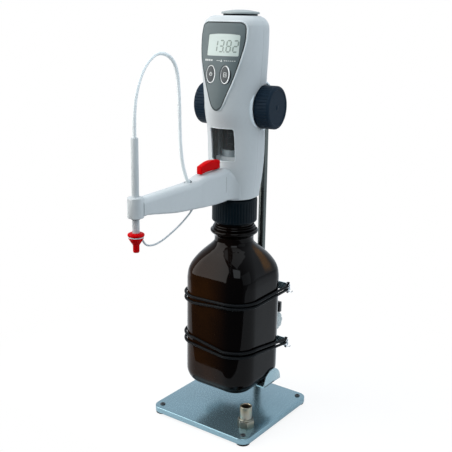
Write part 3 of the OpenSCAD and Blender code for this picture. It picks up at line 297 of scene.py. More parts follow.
def new_object(name, verts, faces, place, merge=True):
    """Object with its points set by place and its faces turned outwards."""
    me = bpy.data.meshes.new(name)
    me.from_pydata([tuple(place @ Vector(v)) for v in verts], [], faces)
    bm = bmesh.new()
    bm.from_mesh(me)
    if merge:
        bmesh.ops.remove_doubles(bm, verts=bm.verts, dist=1e-7)
    bmesh.ops.recalc_face_normals(bm, faces=bm.faces)
    bm.to_mesh(me)
    bm.free()
    o = bpy.data.objects.new(name, me)
    scene.collection.objects.link(o)
    return o


def build(name, verts, faces, body, place, mat, angle=35, stands_for=(), slot=None, more=(), index=None,
          ride=True):
    """Visible piece on a body. stands_for names the CAD nodes that it replaces."""
    o = new_object(name, verts, faces, place)
    for each in (mat, *more):
        o.data.materials.append(MATERIALS[each])
    if index:
        for p in o.data.polygons:
            p.material_index = index(p)
    soften(o, angle)
    if ride:
        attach(o, body)
    if stands_for:
        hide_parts(*stands_for)
    return o


def cutter(shape, place=HEAD):
    return new_object("cutter", *shape, place, merge=False)


def cut(target, cutters):
    """Takes the cutters out of the target's mesh for good."""
    for c in cutters:
        m = target.modifiers.new("cut", "BOOLEAN")
        m.operation, m.object, m.solver = "DIFFERENCE", c, "EXACT"
    bpy.context.view_layer.update()
    deps = bpy.context.evaluated_depsgraph_get()
    me = bpy.data.meshes.new_from_object(target.evaluated_get(deps))
    me.name = target.data.name
    target.modifiers.clear()
    target.data = me
    for c in cutters:
        bpy.data.objects.remove(c, do_unlink=True)


def bevel(o, width, angle):
    b = o.modifiers.new("bevel", "BEVEL")
    b.width, b.segments, b.limit_method, b.angle_limit = width * MM, 2, "ANGLE", math.radians(angle)


def loft(rings, cap_low=True, cap_high=True):
    """Skin over rings with the same count of points."""
    n = len(rings[0])
    faces = [(k * n + j, k * n + (j + 1) % n, (k + 1) * n + (j + 1) % n, (k + 1) * n + j)
             for k in range(len(rings) - 1) for j in range(n)]
    if cap_low:
        faces.append(tuple(range(n - 1, -1, -1)))
    if cap_high:
        faces.append(tuple((len(rings) - 1) * n + j for j in range(n)))
    return [p for ring in rings for p in ring], faces


def hollow(rings):
    """Skin over rings whose last one is joined to the first."""
    n = len(rings[0])
    last = (len(rings) - 1) * n
    verts, faces = loft(rings, False, False)
    return verts, faces + [(last + j, last + (j + 1) % n, (j + 1) % n, j) for j in range(n)]


def lathe_rings(profile, n=64, shape=None):
    """Rings round Z from (radius, height) pairs. shape changes the radius with the angle."""
    rings = []
    for r, z in profile:
        ring = []
        for a in (TURN * i / n for i in range(n)):
            radius = shape(r, z, a) if shape else r
            ring.append((radius * math.cos(a), radius * math.sin(a), z))
        rings.append(ring)
    return rings


def lathe(profile, n=64, shape=None):
    return loft(lathe_rings(profile, n, shape))


def moved(shape, x, y):
    verts, faces = shape
    return [(p[0] + x, p[1] + y, p[2]) for p in verts], faces


def mirrored(shape, side):
    verts, faces = shape
    return [(side * p[0], p[1], p[2]) for p in verts], faces


def joined(*parts):
    verts, faces = [], []
    for v, f in parts:
        base = len(verts)
        verts += list(v)
        faces += [tuple(i + base for i in q) for q in f]
    return verts, faces


def raised(outline, z):
    return [(x, y, z) for x, y in outline]


def oval(w, l, n=48):
    return [(w / 2 * math.cos(TURN * i / n), l / 2 * math.sin(TURN * i / n)) for i in range(n)]


def rounded_outline(w, l, r, n=8, cx=0, cy=0):
    pts = []
    for k, (sx, sy) in enumerate(((1, 1), (-1, 1), (-1, -1), (1, -1))):
        for i in range(n + 1):
            a = math.radians(90 * k + 90 * i / n)
            pts.append((cx + sx * (w / 2 - r) + r * math.cos(a), cy + sy * (l / 2 - r) + r * math.sin(a)))
    return pts


def prism(outline, low, high, edge=0.6, steps=3):
    """Upright prism with rounded rims, by moving the outline in towards its own inside."""
    n = len(outline)

    def inset(d):
        out = []
        for i in range(n):
            p, q, s = outline[i - 1], outline[i], outline[(i + 1) % n]
            t = Vector((s[0] - p[0], s[1] - p[1]))
            t = t.normalized() if t.length > 1e-9 else Vector((1, 0))
            out.append((q[0] - t.y * d, q[1] + t.x * d))
        return out
    turns = [math.radians(90 * i / steps) for i in range(steps + 1)]
    rims = [(inset(edge * (1 - math.sin(b))), edge * (1 - math.cos(b))) for b in turns]
    lows = [raised(rim, low + rise) for rim, rise in rims]
    highs = [raised(rim, high - rise) for rim, rise in reversed(rims)]
    return loft(lows + highs)


def box(low, high):
    flat = [(low[0], low[1]), (high[0], low[1]), (high[0], high[1]), (low[0], high[1])]
    return loft([raised(flat, low[2]), raised(flat, high[2])])


def slab(outline, y0, y1, x=0, z=0):
    """Cutter through the head from y0 to y1, with an outline of (x, z) points."""
    return cutter(loft([[(px + x, y, pz + z) for px, pz in outline] for y in (y0, y1)]))


def spline(a, b, c, d, t):
    """Catmull-Rom curve between b and c."""
    square, cube = 2 * a - 5 * b + 4 * c - d, 3 * b - a - 3 * c + d
    return 0.5 * (2 * b + (c - a) * t + square * t * t + cube * t ** 3)


def table_value(rows, z, column):
    """A column's value at z, on a smooth curve through the rows."""
    last = len(rows) - 1
    i = 0
    while i < last - 1 and z > rows[i + 1][0]:
        i += 1
    near = [rows[min(max(k, 0), last)][column] for k in range(i - 1, i + 3)]
    return spline(*near, (z - rows[i][0]) / (rows[i + 1][0] - rows[i][0]))


def catmull(points, step):
    """Evenly spaced points on a smooth curve through the given ones, about a step apart, and its length."""
    pts = [Vector(p) for p in points]
    ends = pts[:1] + pts + pts[-1:]
    dense = [spline(*near, k / 24) for near in zip(ends, ends[1:], ends[2:], ends[3:]) for k in range(24)]
    dense.append(pts[-1])
    total = sum((q - p).length for p, q in zip(dense, dense[1:]))
    count = max(2, round(total / step))
    out, done, k = [dense[0]], 0.0, 0
    for i in range(1, count):
        goal = total / count * i
        while done + (dense[k + 1] - dense[k]).length < goal:
            done += (dense[k + 1] - dense[k]).length
            k += 1
        piece = dense[k + 1] - dense[k]
        out.append(dense[k] + piece * ((goal - done) / piece.length))
    return out + [dense[-1]], total


def ring_about(p, sides, u, v):
    """Ring round p with the half axes u and v."""
    turns = [TURN * k / sides for k in range(sides)]
    return [tuple(p + (math.cos(a) * u + math.sin(a) * v)) for a in turns]


def tube(points, radius, sides=12, across=(1, 0, 0)):
    """Round tube along points, with closed ends. radius may be a function of the point's number."""
    rings = []
    for i, p in enumerate(points):
        t = (points[min(i + 1, len(points) - 1)] - points[max(i - 1, 0)]).normalized()
        u = t.cross(Vector(across)).normalized()
        r = radius(i) if callable(radius) else radius
        rings.append(ring_about(p, sides, r * u, r * u.cross(t)))
    return loft(rings)


def bead(points, sides, axes):
    """Closed bead along a loop. axes gives the section's half axes at a point from the line's direction."""
    n = len(points)
    rings = []
    for i, p in enumerate(points):
        t = (points[(i + 1) % n] - points[i - 1]).normalized()
        rings.append(ring_about(p, sides, *axes(p, t)))
    return hollow(rings)


def front_bead(points, radius, sides=8):
    """Round bead along a loop on the head's front. radius may be a function of the point."""
    def axes(p, t):
        u = t.cross(Vector((0, 1, 0))).normalized()
        r = radius(p) if callable(radius) else radius
        return r * u, r * u.cross(t)
    return bead(points, sides, axes)


def wire_ring(points, radius, sides=8):
    """Round bead along a loop round its own centre."""
    centre = sum(points, Vector()) / len(points)

    def axes(p, t):
        u = (p - centre).normalized()
        return radius * u, radius * t.cross(u).normalized()
    return bead(points, sides, axes)


# Free cords, as (y, z) points in the head's middle plane: the discharge hose and the cap's tether
HOSE = [(-103.4, 34.1), (-105.4, 37.3), (-108, 42), (-112, 51), (-115, 61), (-117, 72), (-118.4, 84),
        (-119, 97), (-119.4, 110), (-120, 123), (-121, 136), (-123, 148.5), (-126, 157), (-130.5, 163.4),
        (-136.5, 168), (-144, 171), (-152, 172.3), (-160, 171.6), (-168, 168.3), (-175.5, 163.2),
        (-182, 156.6), (-187.5, 148.4), (-191.8, 139.2), (-195, 128.4), (-196.6, 116.5), (-197, 105),
        (-197, 94)]
TETHER = [(-190.2, -8.6), (-188.2, -10), (-186.2, -11.9), (-183.4, -15.6), (-179.5, -18.6), (-173.5, -20.6),
          (-164.5, -21.6), (-152, -20.4), (-140.5, -17.7), (-128, -14), (-117, -10.2), (-106.5, -5.6),
          (-98, -1.2), (-93.6, 2.2)]


def make_cords():
    path, length = catmull([(0, y, z) for y, z in HOSE], 0.55)
    count = len(path)

    def ribbed(i):
        if i < 4 or i > count - 5:
            return 1.95
        return 1.86 + 0.14 * (0.5 + 0.5 * math.cos(TURN * i / 5)) ** 0.7
    hose = build("discharge_hose_ribbed", *tube(path, ribbed, 14), "head", HEAD, "hose_ptfe", 60,
                 ("discharge_hose",))
    path, length = catmull([(0, y, z) for y, z in TETHER], 0.8)
    tether = build("cap_tether_cord", *tube(path, 1.0, 12), "head", HEAD, "tether_nylon", 60,
                   ("cap_tether",), ride=False)
    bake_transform(tether)


make_cords()

# Head surface, from the same table as the CAD source: height, half width, front, back and the front's power
HEAD_ROWS = [(0, 27, -30.5, 28.5, 2), (25, 30, -31.3, 31, 2), (47, 31.6, -31.8, 32.5, 2),
             (70, 32, -33.7, 32.5, 2), (85, 32, -37, 31.7, 2), (94, 32.2, -41.5, 31.5, 2),
             (103, 32.4, -45, 31.3, 2), (120, 32.6, -45.7, 30.8, 2.1), (143, 33.7, -43.6, 29.5, 2.5),
             (165, 35.2, -41.3, 28.4, 2.9), (188, 36, -36.7, 27.7, 3), (199, 35.6, -33.3, 27.2, 3),
             (204, 33.2, -31.2, 25.4, 3), (207.5, 29.3, -28.6, 23.2, 3), (209.5, 25, -25, 21, 2.8)]
HEAD_TOP, SEAM_Y, BACK_POWER = 209.5, -4.0, 2.9
# Panel: height and half width
PANEL_ROWS = [(105.5, 1.5), (107, 4.6), (110, 6.8), (116, 9.6), (122, 12), (133, 16.3), (145, 20.4),
              (157, 24), (168, 26.7), (178, 28.4), (187, 29), (195, 28.6), (199.5, 27.2), (202, 24.6),
              (203, 21.5)]
# Arm: distance to the front, half width, underside and top
ARM_ROWS = [(22, 10, 5.5, 35), (29, 11.3, 4.5, 36.5), (34, 12, 1.6, 38.8), (40, 12, 1, 39.5),
            (44, 12, 1, 39.2), (50, 11.8, 1, 38.2), (60, 11.3, 1, 38), (76, 10.8, 2, 37.5),
            (84, 10.5, 2.5, 36.4), (92, 10, 3.2, 34.4), (107, 9.5, 4.3, 33.5), (121, 9.1, 5.5, 33.3),
            (140, 8.7, 7.7, 33.3), (167, 8.2, 12, 33.2), (181, 8, 14.3, 33.1), (188, 7.9, 15.4, 33.1)]


def spow(v, p):
    return math.copysign(abs(v) ** p, v) if v else 0.0


def head_size(z, inset=0.0):
    """Half width, reach to the front and to the back, and the front's power."""
    hw, front, back, power = (table_value(HEAD_ROWS, z, column) for column in (1, 2, 3, 4))
    return hw - inset, SEAM_Y - front - inset, back - SEAM_Y - inset, power


def front_y(x, z):
    hw, front, _, p = head_size(z)
    return SEAM_Y - front * max(0.0, 1 - (abs(x) / hw) ** p) ** (1 / p)


def back_y(x, z):
    hw, _, back, _ = head_size(z)
    return SEAM_Y + back * max(0.0, 1 - (abs(x) / hw) ** BACK_POWER) ** (1 / BACK_POWER)


def on_front(x, z, off):
    return Vector((x, front_y(x, z) - off, z))


def half_ring(z, inset, side, n=44):
    """Half of the head's outline at z, the front one for side -1, kept a little off the seam."""
    hw, front, back, power = head_size(z, inset)
    reach, power = (front, power) if side < 0 else (back, BACK_POWER)
    ring = []
    for i in range(n + 1):
        a = math.pi * (i if side < 0 else n - i) / n
        ring.append((hw * spow(math.cos(a), 2 / power),
                     SEAM_Y + side * max(reach * abs(math.sin(a)) ** (2 / power), 0.12), z))
    return ring


def shell(side, wall=2.4):
    """One cover as a closed mesh: down the inner skin from its top, then up the outer skin."""
    levels, z = [], 0.0
    while z < HEAD_TOP:
        levels.append(z)
        z += 2.6 if z < 194 else (1.3 if z < 203 else 0.7)
    inner = [half_ring(z, wall, side) for z in levels if z < 205] + [half_ring(206.9, wall, side)]
    rings = inner[::-1] + [half_ring(z, 0, side) for z in levels + [HEAD_TOP]]
    n = len(rings[0])
    ends = len(rings) - 1
    faces = [(k * n + j, k * n + j + 1, (k + 1) * n + j + 1, (k + 1) * n + j)
             for k in range(ends) for j in range(n - 1)]
    faces += [tuple(range(n - 1, -1, -1)), tuple(ends * n + j for j in range(n))]
    faces += [tuple(k * n + edge for k in range(ends + 1)) for edge in (0, n - 1)]
    return [p for ring in rings for p in ring], faces


def arched(x, z):
    """Display height at z, with its top edge a little arched."""
    t = (z - DISPLAY_LOW) / (DISPLAY_HIGH - DISPLAY_LOW)
    return z + 1.3 * max(0.0, t) * (1 - (x / DISPLAY_HALF) ** 2)


def display_outline():
    mid = (DISPLAY_LOW + DISPLAY_HIGH) / 2
    flat = rounded_outline(2 * DISPLAY_HALF, DISPLAY_HIGH - DISPLAY_LOW, 1.4, 5, 0, mid)
    side = [p for p in flat if p[1] < mid]
    top = [p for p in flat if p[1] >= mid]
    dense = []
    for p, q in zip(top, top[1:]):
        k = max(1, int(abs(q[0] - p[0]) / 2))
        dense += [(p[0] + (q[0] - p[0]) * i / k, p[1] + (q[1] - p[1]) * i / k) for i in range(k)]
    return [(x + DISPLAY_X, arched(x, z)) for x, z in dense + [top[-1]] + side]


def wheel_cutters():
    """Seats for the hand wheels and holes for their shaft."""
    out = []
    for flip in (False, True):
        out.append(cutter(lathe([(26.2, 0), (26.2, 12)], 72), along_x(30.4, flip)))
        out.append(cutter(lathe([(6.3, 0), (6.3, 14)], 32), along_x(19, flip)))
    return out


def make_covers():
    to_head = HEAD.inverted()

    # Faces inside the covers take the near-black material: painted shade for the head's inside
    def is_inner(face):
        x, y, z = to_head @ face.center
        hw, front, back, p = head_size(min(max(z, 0), HEAD_TOP), 1.2)
        reach, p = (front, p) if y < SEAM_Y else (back, BACK_POWER)
        return int((abs(x) / hw) ** p + (abs(y - SEAM_Y) / reach) ** p < 1 and z < 208)
    front, rear = (build(f"{name}_cover_shell", *shell(side), "head", HEAD, "head_plastic", 30,
                         (f"{name}_cover",), more=("inner_painted_shade",), index=is_inner)
                   for name, side in (("front", -1), ("rear", 1)))
    openings = [slab(rounded_outline(31.2, 38.4, 2.6), -70, -18, z=WINDOW_Z),
                slab(display_outline(), -70, -18)]
    openings += [slab(oval(*KEY_HOLE), -70, -30, x, KEY_Z) for x in (-KEY_X, KEY_X)]
    cut(front, wheel_cutters() + openings)
    openings = [slab(rounded_outline(28, 46, 1.5), 15, 50, z=DOOR_Z)]
    for x, z in ((-23.2, 22), (23.2, 22), (-26, 190), (26, 190)):
        seat_y = back_y(abs(x) + 2.8, z) - 1.6
        openings.append(cutter(lathe([(3.1, 0), (3.1, 40)], 24), at_head(x, seat_y, z, -90)))
    cut(rear, wheel_cutters() + openings)
    for o in (front, rear):
        soften(o, 30)
    # Lips round the wheels in a lighter copy of the head's plastic: a painted highlight
    lip = [(24.2, -3.6), (30.2, -3.6), (30.0, -1.6), (29.3, 0.0), (28.3, 1.1), (27.3, 1.5), (26.6, 1.3),
           (26.2, 0.6), (26.1, -1.2), (24.2, -1.4)]
    for name, flip in (("right", False), ("left", True)):
        build(f"wheel_fairing_{name}", *lathe(lip, 96), "head", along_x(30.4, flip, 7.8, 108.2), "fairing",
              40, slot="head_plastic")


make_covers()


def spaced(low, high, step, rest):
    """Heights a step apart, then high. None comes nearer to high than rest."""
    out, z = [], low
    while z < high - rest:
        out.append(z)
        z += step
    return out + [high]


def curved(rows, offset, thick, n, step):
    """Plate that follows the head's front: offset is how far its inner face stands off the surface."""
    rings = []
    for z in spaced(rows[0][0], rows[-1][0], step, 0.2):
        hw = table_value(rows, z, 1)
        xs = [-hw + 2 * hw * i / n for i in range(n + 1)]
        outer = [(x, front_y(x, z) - offset - thick, z) for x in xs]
        rings.append(outer + [(x, front_y(x, z) - offset, z) for x in reversed(xs)])
    return loft(rings)


def outline_path(rows, offset):
    """Closed line round a panel on the head's front."""
    low, high = rows[0][0], rows[-1][0]
    right = [(table_value(rows, z, 1), z) for z in spaced(low, high, 0.8, 0.1)]
    low_hw, high_hw = right[0][0], right[-1][0]
    top = [(high_hw * (1 - 2 * i / 22), high) for i in range(1, 22)]
    bottom = [(-low_hw + 2 * low_hw * i / 6, low) for i in range(1, 6)]
    return [on_front(x, z, offset) for x, z in right + top + [(-x, z) for x, z in reversed(right)] + bottom]


def decal(name, shapes, offset, mat, thick):
    """Thin printed shapes on the head's front: each is an outline of (x, z) points."""
    parts = [loft([[tuple(on_front(x, z, off)) for x, z in shape] for off in (offset + thick, offset - 0.1)])
             for shape in shapes]
    build(name, *joined(*parts), "head", HEAD, mat, 40)


def rectangle(x, z, w, h):
    return [(x, z), (x + w, z), (x + w, z + h), (x, z + h)]


def segment_digit(number, x, z, w=6.5, h=13.6, t=1.6, slant=0.06):
    """Outlines of a seven-segment digit, lower left at x, z, with strokes t wide."""
    lit = {1: "bc", 2: "abged", 3: "abgcd", 8: "abcdefg"}[number]
    g, half, mid = t * 0.18, t / 2, h / 2

    def flat(z0):
        return [(g + half, z0), (t + g, z0 - half), (w - t - g, z0 - half), (w - half - g, z0),
                (w - t - g, z0 + half), (t + g, z0 + half)]

    def post(x0, z0, z1):
        return [(x0, z0 + g), (x0 + half, z0 + half + g), (x0 + half, z1 - half - g), (x0, z1 - g),
                (x0 - half, z1 - half - g), (x0 - half, z0 + half + g)]
    every = {"a": flat(h - half), "g": flat(mid), "d": flat(half), "b": post(w - half, mid, h - half),
             "c": post(w - half, half, mid), "f": post(half, mid, h - half), "e": post(half, half, mid)}
    return [[(x + px + slant * pz, z + pz) for px, pz in every[s]] for s in lit]


def make_panel():
    panel = build("control_panel_plate", *curved(PANEL_ROWS, 0.3, 0.9, 32, 1.3), "head", HEAD,
                  "panel_plastic", 40, ("control_panel",))
    cut(panel, [slab(display_outline(), -70, -20)] + [slab(oval(*KEY_HOLE), -70, -20, x, KEY_Z)
                                                      for x in (-KEY_X, KEY_X)])
    soften(panel, 40)
    # Light bead round the panel: a painted highlight on its rim, wider to the right
    rim = front_bead(outline_path(PANEL_ROWS, 0.5), lambda p: 0.5 + 0.65 * min(1, max(0, p.x / 16)))
    build("panel_rim_bead", *rim, "head", HEAD, "panel_rim", 60)
    inner = [(z, max(w - 1.15, 0.3)) for z, w in PANEL_ROWS if 107.2 < z < 201.5]
    shadow = front_bead(outline_path([(106.6, 1.0)] + inner + [(201.9, 21.3)], 1.12), 0.42, 6)
    build("panel_shadow_line", *shadow, "head", HEAD, "key_gap", 60)


def make_display():
    rings, cols, rows = [], 26, 14
    for k in range(rows + 1):
        z = DISPLAY_LOW + 0.1 + (DISPLAY_HIGH - DISPLAY_LOW - 0.2) * k / rows
        xs = [-19.3 + 38.6 * i / cols for i in range(cols + 1)]
        face = [tuple(on_front(x + DISPLAY_X, arched(x, z), 0.95)) for x in xs]
        rings.append(face + [(x, y + 1.2, h) for x, y, h in reversed(face)])
    build("display_face", *loft(rings), "head", HEAD, "lcd_glass", 40, ("display_lens",))
    shapes = []
    for x, digit in ((-9.3, 1), (-1.3, 3), (7.6, 8), (15.6, 2)):
        shapes += segment_digit(digit, x, 169.8)
    shapes.append(rectangle(5.6, 169.8, 1.2, 1.2))
    decal("display_digits", shapes, 1.0, "lcd_digit", 0.06)
    marks = [rectangle(-17.7 + 2.8 * k, 160.2, 1.9, 1.8) for k in range(4)]
    marks += [rectangle(-1.8 + 2.3 * k, 160.6, 1.6, 0.7) for k in (0, 1, 4, 5, 6, 7, 8, 9)]
    marks.append([(2.9, 159.8), (5.3, 159.8), (4.1, 162.4)])
    decal("panel_marks", marks, 1.2, "print_light", 0.05)


make_panel()
make_display()


def make_key(name, x, outer, inner, bar):
    """Key with a proud face, a silver ring and a plain symbol: an outline with a bar."""
    body = f"{name}_button_body"
    place = at_head(x, -42.6, KEY_Z, 84)
    build(f"{name}_key", *prism(oval(11.4, 19.6), -4.2, 0.75, 0.7), body, place, "button_plastic", 35,
          (f"{name}_button",))

    def axes(p, t):
        wide = 0.62 + 0.16 * min(1, max(-1, p.x / 4))
        return wide * Vector((t.y, -t.x, 0)), Vector((0, 0, 0.5))
    edge = [Vector(p) for p in raised(oval(10.9, 19.1, 56), 0.6)]
    build(f"{name}_key_ring", *bead(edge, 8, axes), body, place, "silver_ring", 60)
    # Near-black ring in the gap round the key: painted shade
    lip = [raised(oval(w, w + 8.2, 56), z)
           for w, z in ((12.9, -1.6), (12.9, 0.2), (13.3, 0.4), (14.1, 0.25), (14.2, -1.6))]
    build(f"{name}_key_hole_shade", *hollow(lip), "head", place, "key_gap", 50)
    low, high = 0.6, 0.86
    mark = hollow([raised(outer, low), raised(outer, high), raised(inner, high), raised(inner, low)])
    build(f"{name}_key_symbol", *joined(mark, box(*bar)), body, place, "print_light", 40)


make_key("power", -KEY_X, oval(3.8, 3.8, 24), oval(2.4, 2.4, 24), ((-0.3, 0.6, 0.6), (0.3, 2.6, 0.9)))
make_key("clear", KEY_X, rounded_outline(4.0, 5.0, 0.5, 5), rounded_outline(2.9, 3.9, 0.3, 5),
         ((-1.4, -0.3, 0.6), (1.4, 0.3, 0.86)))


def make_window():
    sheet = curved([(46.4, 15.4), (84.4, 15.4)], -1.9, 1.2, 20, 3)
    build("window_sheet", *sheet, "head", HEAD, "clear_window", 40, ("window_pane",))
    # Light bead round the window: a painted highlight on its edge
    pts = [on_front(x, z + WINDOW_Z, 0.05) for x, z in rounded_outline(31.6, 38.8, 2.8, 6)]
    dense = []
    for p, q in zip(pts, pts[1:] + pts[:1]):
        k = max(1, int((q - p).length / 3))
        dense += [on_front(p.x + (q.x - p.x) * j / k, p.z + (q.z - p.z) * j / k, 0.05) for j in range(k)]
    build("window_edge_highlight", *front_bead(dense, 0.42), "head", HEAD, "panel_rim", 60)


make_window()


def make_wheels():
    def ribs(r, z, a):
        if r < 23.2 or z > 17.0 or z < 1.0:
            return r
        return r - 0.55 * max(0.0, math.cos(40 * a)) ** 6
    wheel = [(4.2, 0), (23.5, 0), (24.6, 0.5), (25, 1.4), (25, 4), (25, 8), (25, 12), (25, 15), (25, 16.6),
             (24.85, 17.6), (24.3, 18.6), (23.2, 19.3), (21.6, 19.6), (20.8, 19.55), (20.3, 19.1),
             (20, 18.9), (6, 18.9), (3.4, 18.9)]
    cap = [(0.2, 49.55), (3.1, 49.55), (3.1, 49.85), (2.6, 50.1), (0.2, 50.2)]
    for side, flip in (("right", False), ("left", True)):
        build(f"{side}_handwheel_ribbed", *lathe(wheel, 320, ribs), "drive", along_x(30.8, flip),
              "dark_plastic", 32, (f"{side}_handwheel",))
    for name, flip, screws in (("wheel_caps", False, ("wheel_screws",)), ("wheel_cap_left", True, ())):
        build(name, *lathe(cap, 32), "drive", along_x(0, flip), "dark_plastic", 40, screws)


make_wheels()


def make_top_cap():
    r, rise, dome = 19.6, 2.2, []
    radius = (r * r + rise * rise) / (2 * rise)
    for i in range(13):
        x = r * (1 - i / 12)
        height = 213.9 + math.sqrt(radius * radius - x * x) - (radius - rise)
        dome.append((max(x, 0.05), min(height, 216.05)))
    profile = [(0.1, 206.3), (13, 206.3), (15, 206.3), (15, 211.3), (21.2, 211.3), (21.8, 211.6),
               (22.0, 212.2), (21.9, 213.0), (21.5, 213.6), (20.9, 213.9), (20.3, 213.9),
               (19.9, 213.7)] + dome
    build("top_cap_dome", *lathe(profile, 96), "top_cap_body", at_head(3, 0, 0), "cap_white", 40,
          ("top_cap",))


make_top_cap()


# Discharge arm, valve lever, tip
def arm_side(d):
    """Half width of the arm, which runs into the head in a hollow curve."""
    if d > 38.9:
        return table_value(ARM_ROWS, d, 1)
    return 11.75 + 17.3 - math.sqrt(17.3 ** 2 - (38.9 - max(d, 24.0)) ** 2)


def arm_ring(d, grow=0.0, n=14):
    """Arm's section: a box with small round edges below and wide ones above."""
    hw = arm_side(d) + grow
    low, high = table_value(ARM_ROWS, d, 2), table_value(ARM_ROWS, d, 3) + grow
    low = (min(low, 1.3) if d < 40 else low) - grow
    wide = 6.2 + max(0.0, arm_side(d) - 12.0) * 1.2
    edge = 2.4
    corners = ((hw - wide, high - wide, wide), (wide - hw, high - wide, wide), (edge - hw, low + edge, edge),
               (hw - edge, low + edge, edge))
    ring = []
    for q, (x, z, r) in enumerate(corners):
        turns = [math.radians(90 * q + 90 * i / n) for i in range(n + 1)]
        ring += [(x + r * math.cos(a), -d, z + r * math.sin(a)) for a in turns]
    return ring


def make_arm():
    rings = [arm_ring(22 + 1.6 * i) for i in range(104)] + [arm_ring(188)]
    arm = build("discharge_arm_shell", *loft(rings), "head", HEAD, "head_plastic", 35, ("discharge_arm",))
    lean = at_head(0, -103, 33.4, 32)
    cut(arm, [cutter(lathe([(4.3, -8), (4.3, 8)], 32), lean),
              cutter(lathe([(4.1, 12), (4.1, 60)], 32), at_head(0, LEVER_Y, 0))])
    soften(arm, 35)
    seam = [Vector((arm_side(41) - 0.02, -41, 12 + 2 * i)) for i in range(10)]
    build("arm_seam", *tube(seam, 0.16, 8, (0, 1, 0)), "head", HEAD, "seam_dark", 60)
    socket = [(2.1, -6), (4.1, -6), (4.1, -0.2), (3.6, 0.3), (2.6, 0.2), (2.1, -0.4)]
    build("hose_socket", *lathe(socket, 40), "head", lean, "seam_dark", 40, ("arm_seals",))
    seal = [(3.75, 12.8), (4.9, 12.8), (5.0, 13.4), (5.0, 14.0), (3.75, 14.0)]
    build("tip_seal", *lathe(seal, 40), "head", at_head(0, -TIP_REACH, 0), "seam_dark", 40)


make_arm()


def make_tip():
    place = at_head(0, -TIP_REACH, 0)

    def block(z, grow):
        """Round ring with slightly squared sides."""
        r = 8.2 + grow
        ring = []
        for a in (TURN * i / 64 for i in range(64)):
            x, y = r * spow(math.cos(a), 0.78), r * spow(math.sin(a), 0.78)
            reach = math.hypot(x, y)
            s = min(1.0, 8.2 / reach) if reach > r else 1.0
            ring.append((x * s, y * s, z))
        return ring
    rows = [(14, -1.0), (14.3, -0.4), (14.9, 0), (33.4, 0), (34.4, -0.35), (35.0, -1.0), (35.3, -2.0)]
    build("tip_block", *loft([block(z, g) for z, g in rows]), "head", place, "head_plastic", 35,
          ("tip_holder",))
    saddle = [[(x, TIP_REACH - d, z) for x, _, z in arm_ring(188, grow)]
              for d, grow in ((187.7, -0.1), (188.1, 0.25), (191.5, 0.25), (193, 0.1))]
    build("tip_saddle", *loft(saddle), "head", place, "head_plastic", 35)
    tube_rows = [(3.5, -9), (3.7, -8.6), (3.7, 93.2), (3.45, 93.8), (3.0, 94), (2.1, 94), (2.1, 92)]
    build("titration_tube_body", *lathe(tube_rows, 40), "head", place, "head_plastic", 40,
          ("titration_tube",))
    cap = [(4.05, -1.4), (5.6, -1.6), (7.4, -1.9), (8.3, -2.5), (8.6, -3.3), (8.5, -4.3), (8.0, -4.9),
           (7.4, -5.1), (7.4, -6.2), (7.7, -6.5), (7.7, -7.1), (7.1, -8.2), (5.7, -10.6), (4.5, -12.4),
           (3.7, -13.5), (3.35, -14.6), (3.3, -20.8), (2.9, -21.7), (2.2, -22), (0.1, -22)]
    build("tip_cap_body_mesh", *lathe(cap, 64), "tip_cap_body", place, "red_plastic", 38, ("tip_cap",))
    # Light ring in the cap's groove: a painted highlight
    line = [(7.3, -6.25), (7.9, -6.1), (7.9, -5.2), (7.3, -5.05)]
    build("tip_cap_highlight", *lathe(line, 64), "tip_cap_body", place, "panel_rim", 40)


make_tip()

# Lever: share of its length, top and underside
LEVER_ROWS = [(0, 11.2, 1.3), (0.2, 12.0, 1.3), (0.42, 12.5, 1.4), (0.62, 11.9, 1.4), (0.82, 10.5, 0.9),
              (1, 9.0, 0.0)]


def make_lever():
    """Lever: a hub over the spindle and a finger that arches and drops towards the tip."""
    n, count, hub, reach = 44, 34, 2.6, 35
    turns = [TURN * j / n for j in range(n)]
    rings = []
    for i in range(count + 1):
        y = hub - (hub + reach) * i / count
        k = max(0.0, -y / reach)
        hw = 4.7 * math.sqrt(max(1 - (y / hub) ** 4, 0.02)) if y > 0 else 4.7 - 1.3 * k
        high, low = table_value(LEVER_ROWS, k, 1), table_value(LEVER_ROWS, k, 2)
        mid, half = (low + high) / 2, (high - low) / 2
        rings.append([(max(hw, 0.3) * spow(math.cos(a), 2 / 7), y, mid + half * spow(math.sin(a), 2 / 7))
                      for a in turns])
    last = rings[-1]
    mid = sum(p[2] for p in last) / n
    for shrink, y in ((0.97, -35.25), (0.9, -35.4)):
        rings.append([(x * shrink, y, mid + (z - mid) * shrink) for x, _, z in last])
    build("valve_lever_body", *loft(rings), "lever", at_head(0, LEVER_Y, 38.4), "red_plastic", 38,
          ("valve_lever",))


make_lever()

# Bottle's shoulder: share of its height, and how far its width has gone to the neck's
SHOULDER = [(0, 0), (0.1, 0.015), (0.2, 0.04), (0.3, 0.09), (0.4, 0.17), (0.5, 0.28), (0.6, 0.41),
            (0.7, 0.57), (0.8, 0.75), (0.88, 0.89), (0.94, 0.97), (1, 1)]


def square_ring(half, r, z, n=24, flat=6):
    """Rounded square with points along its flats as well, counter-clockwise."""
    c = half - r
    signs = ((1, 1), (-1, 1), (-1, -1), (1, -1))
    out = []
    for q, (sx, sy) in enumerate(signs):
        for a in (math.radians(90 * q + 90 * i / n) for i in range(n + 1)):
            out.append((sx * c + r * math.cos(a), sy * c + r * math.sin(a), z))
        # The corner's last angle is the next corner's first one
        nx, ny = signs[(q + 1) % 4]
        p, s = out[-1], (nx * c + r * math.cos(a), ny * c + r * math.sin(a))
        out += [(p[0] + (s[0] - p[0]) * i / flat, p[1] + (s[1] - p[1]) * i / flat, z)
                for i in range(1, flat)]
    return out


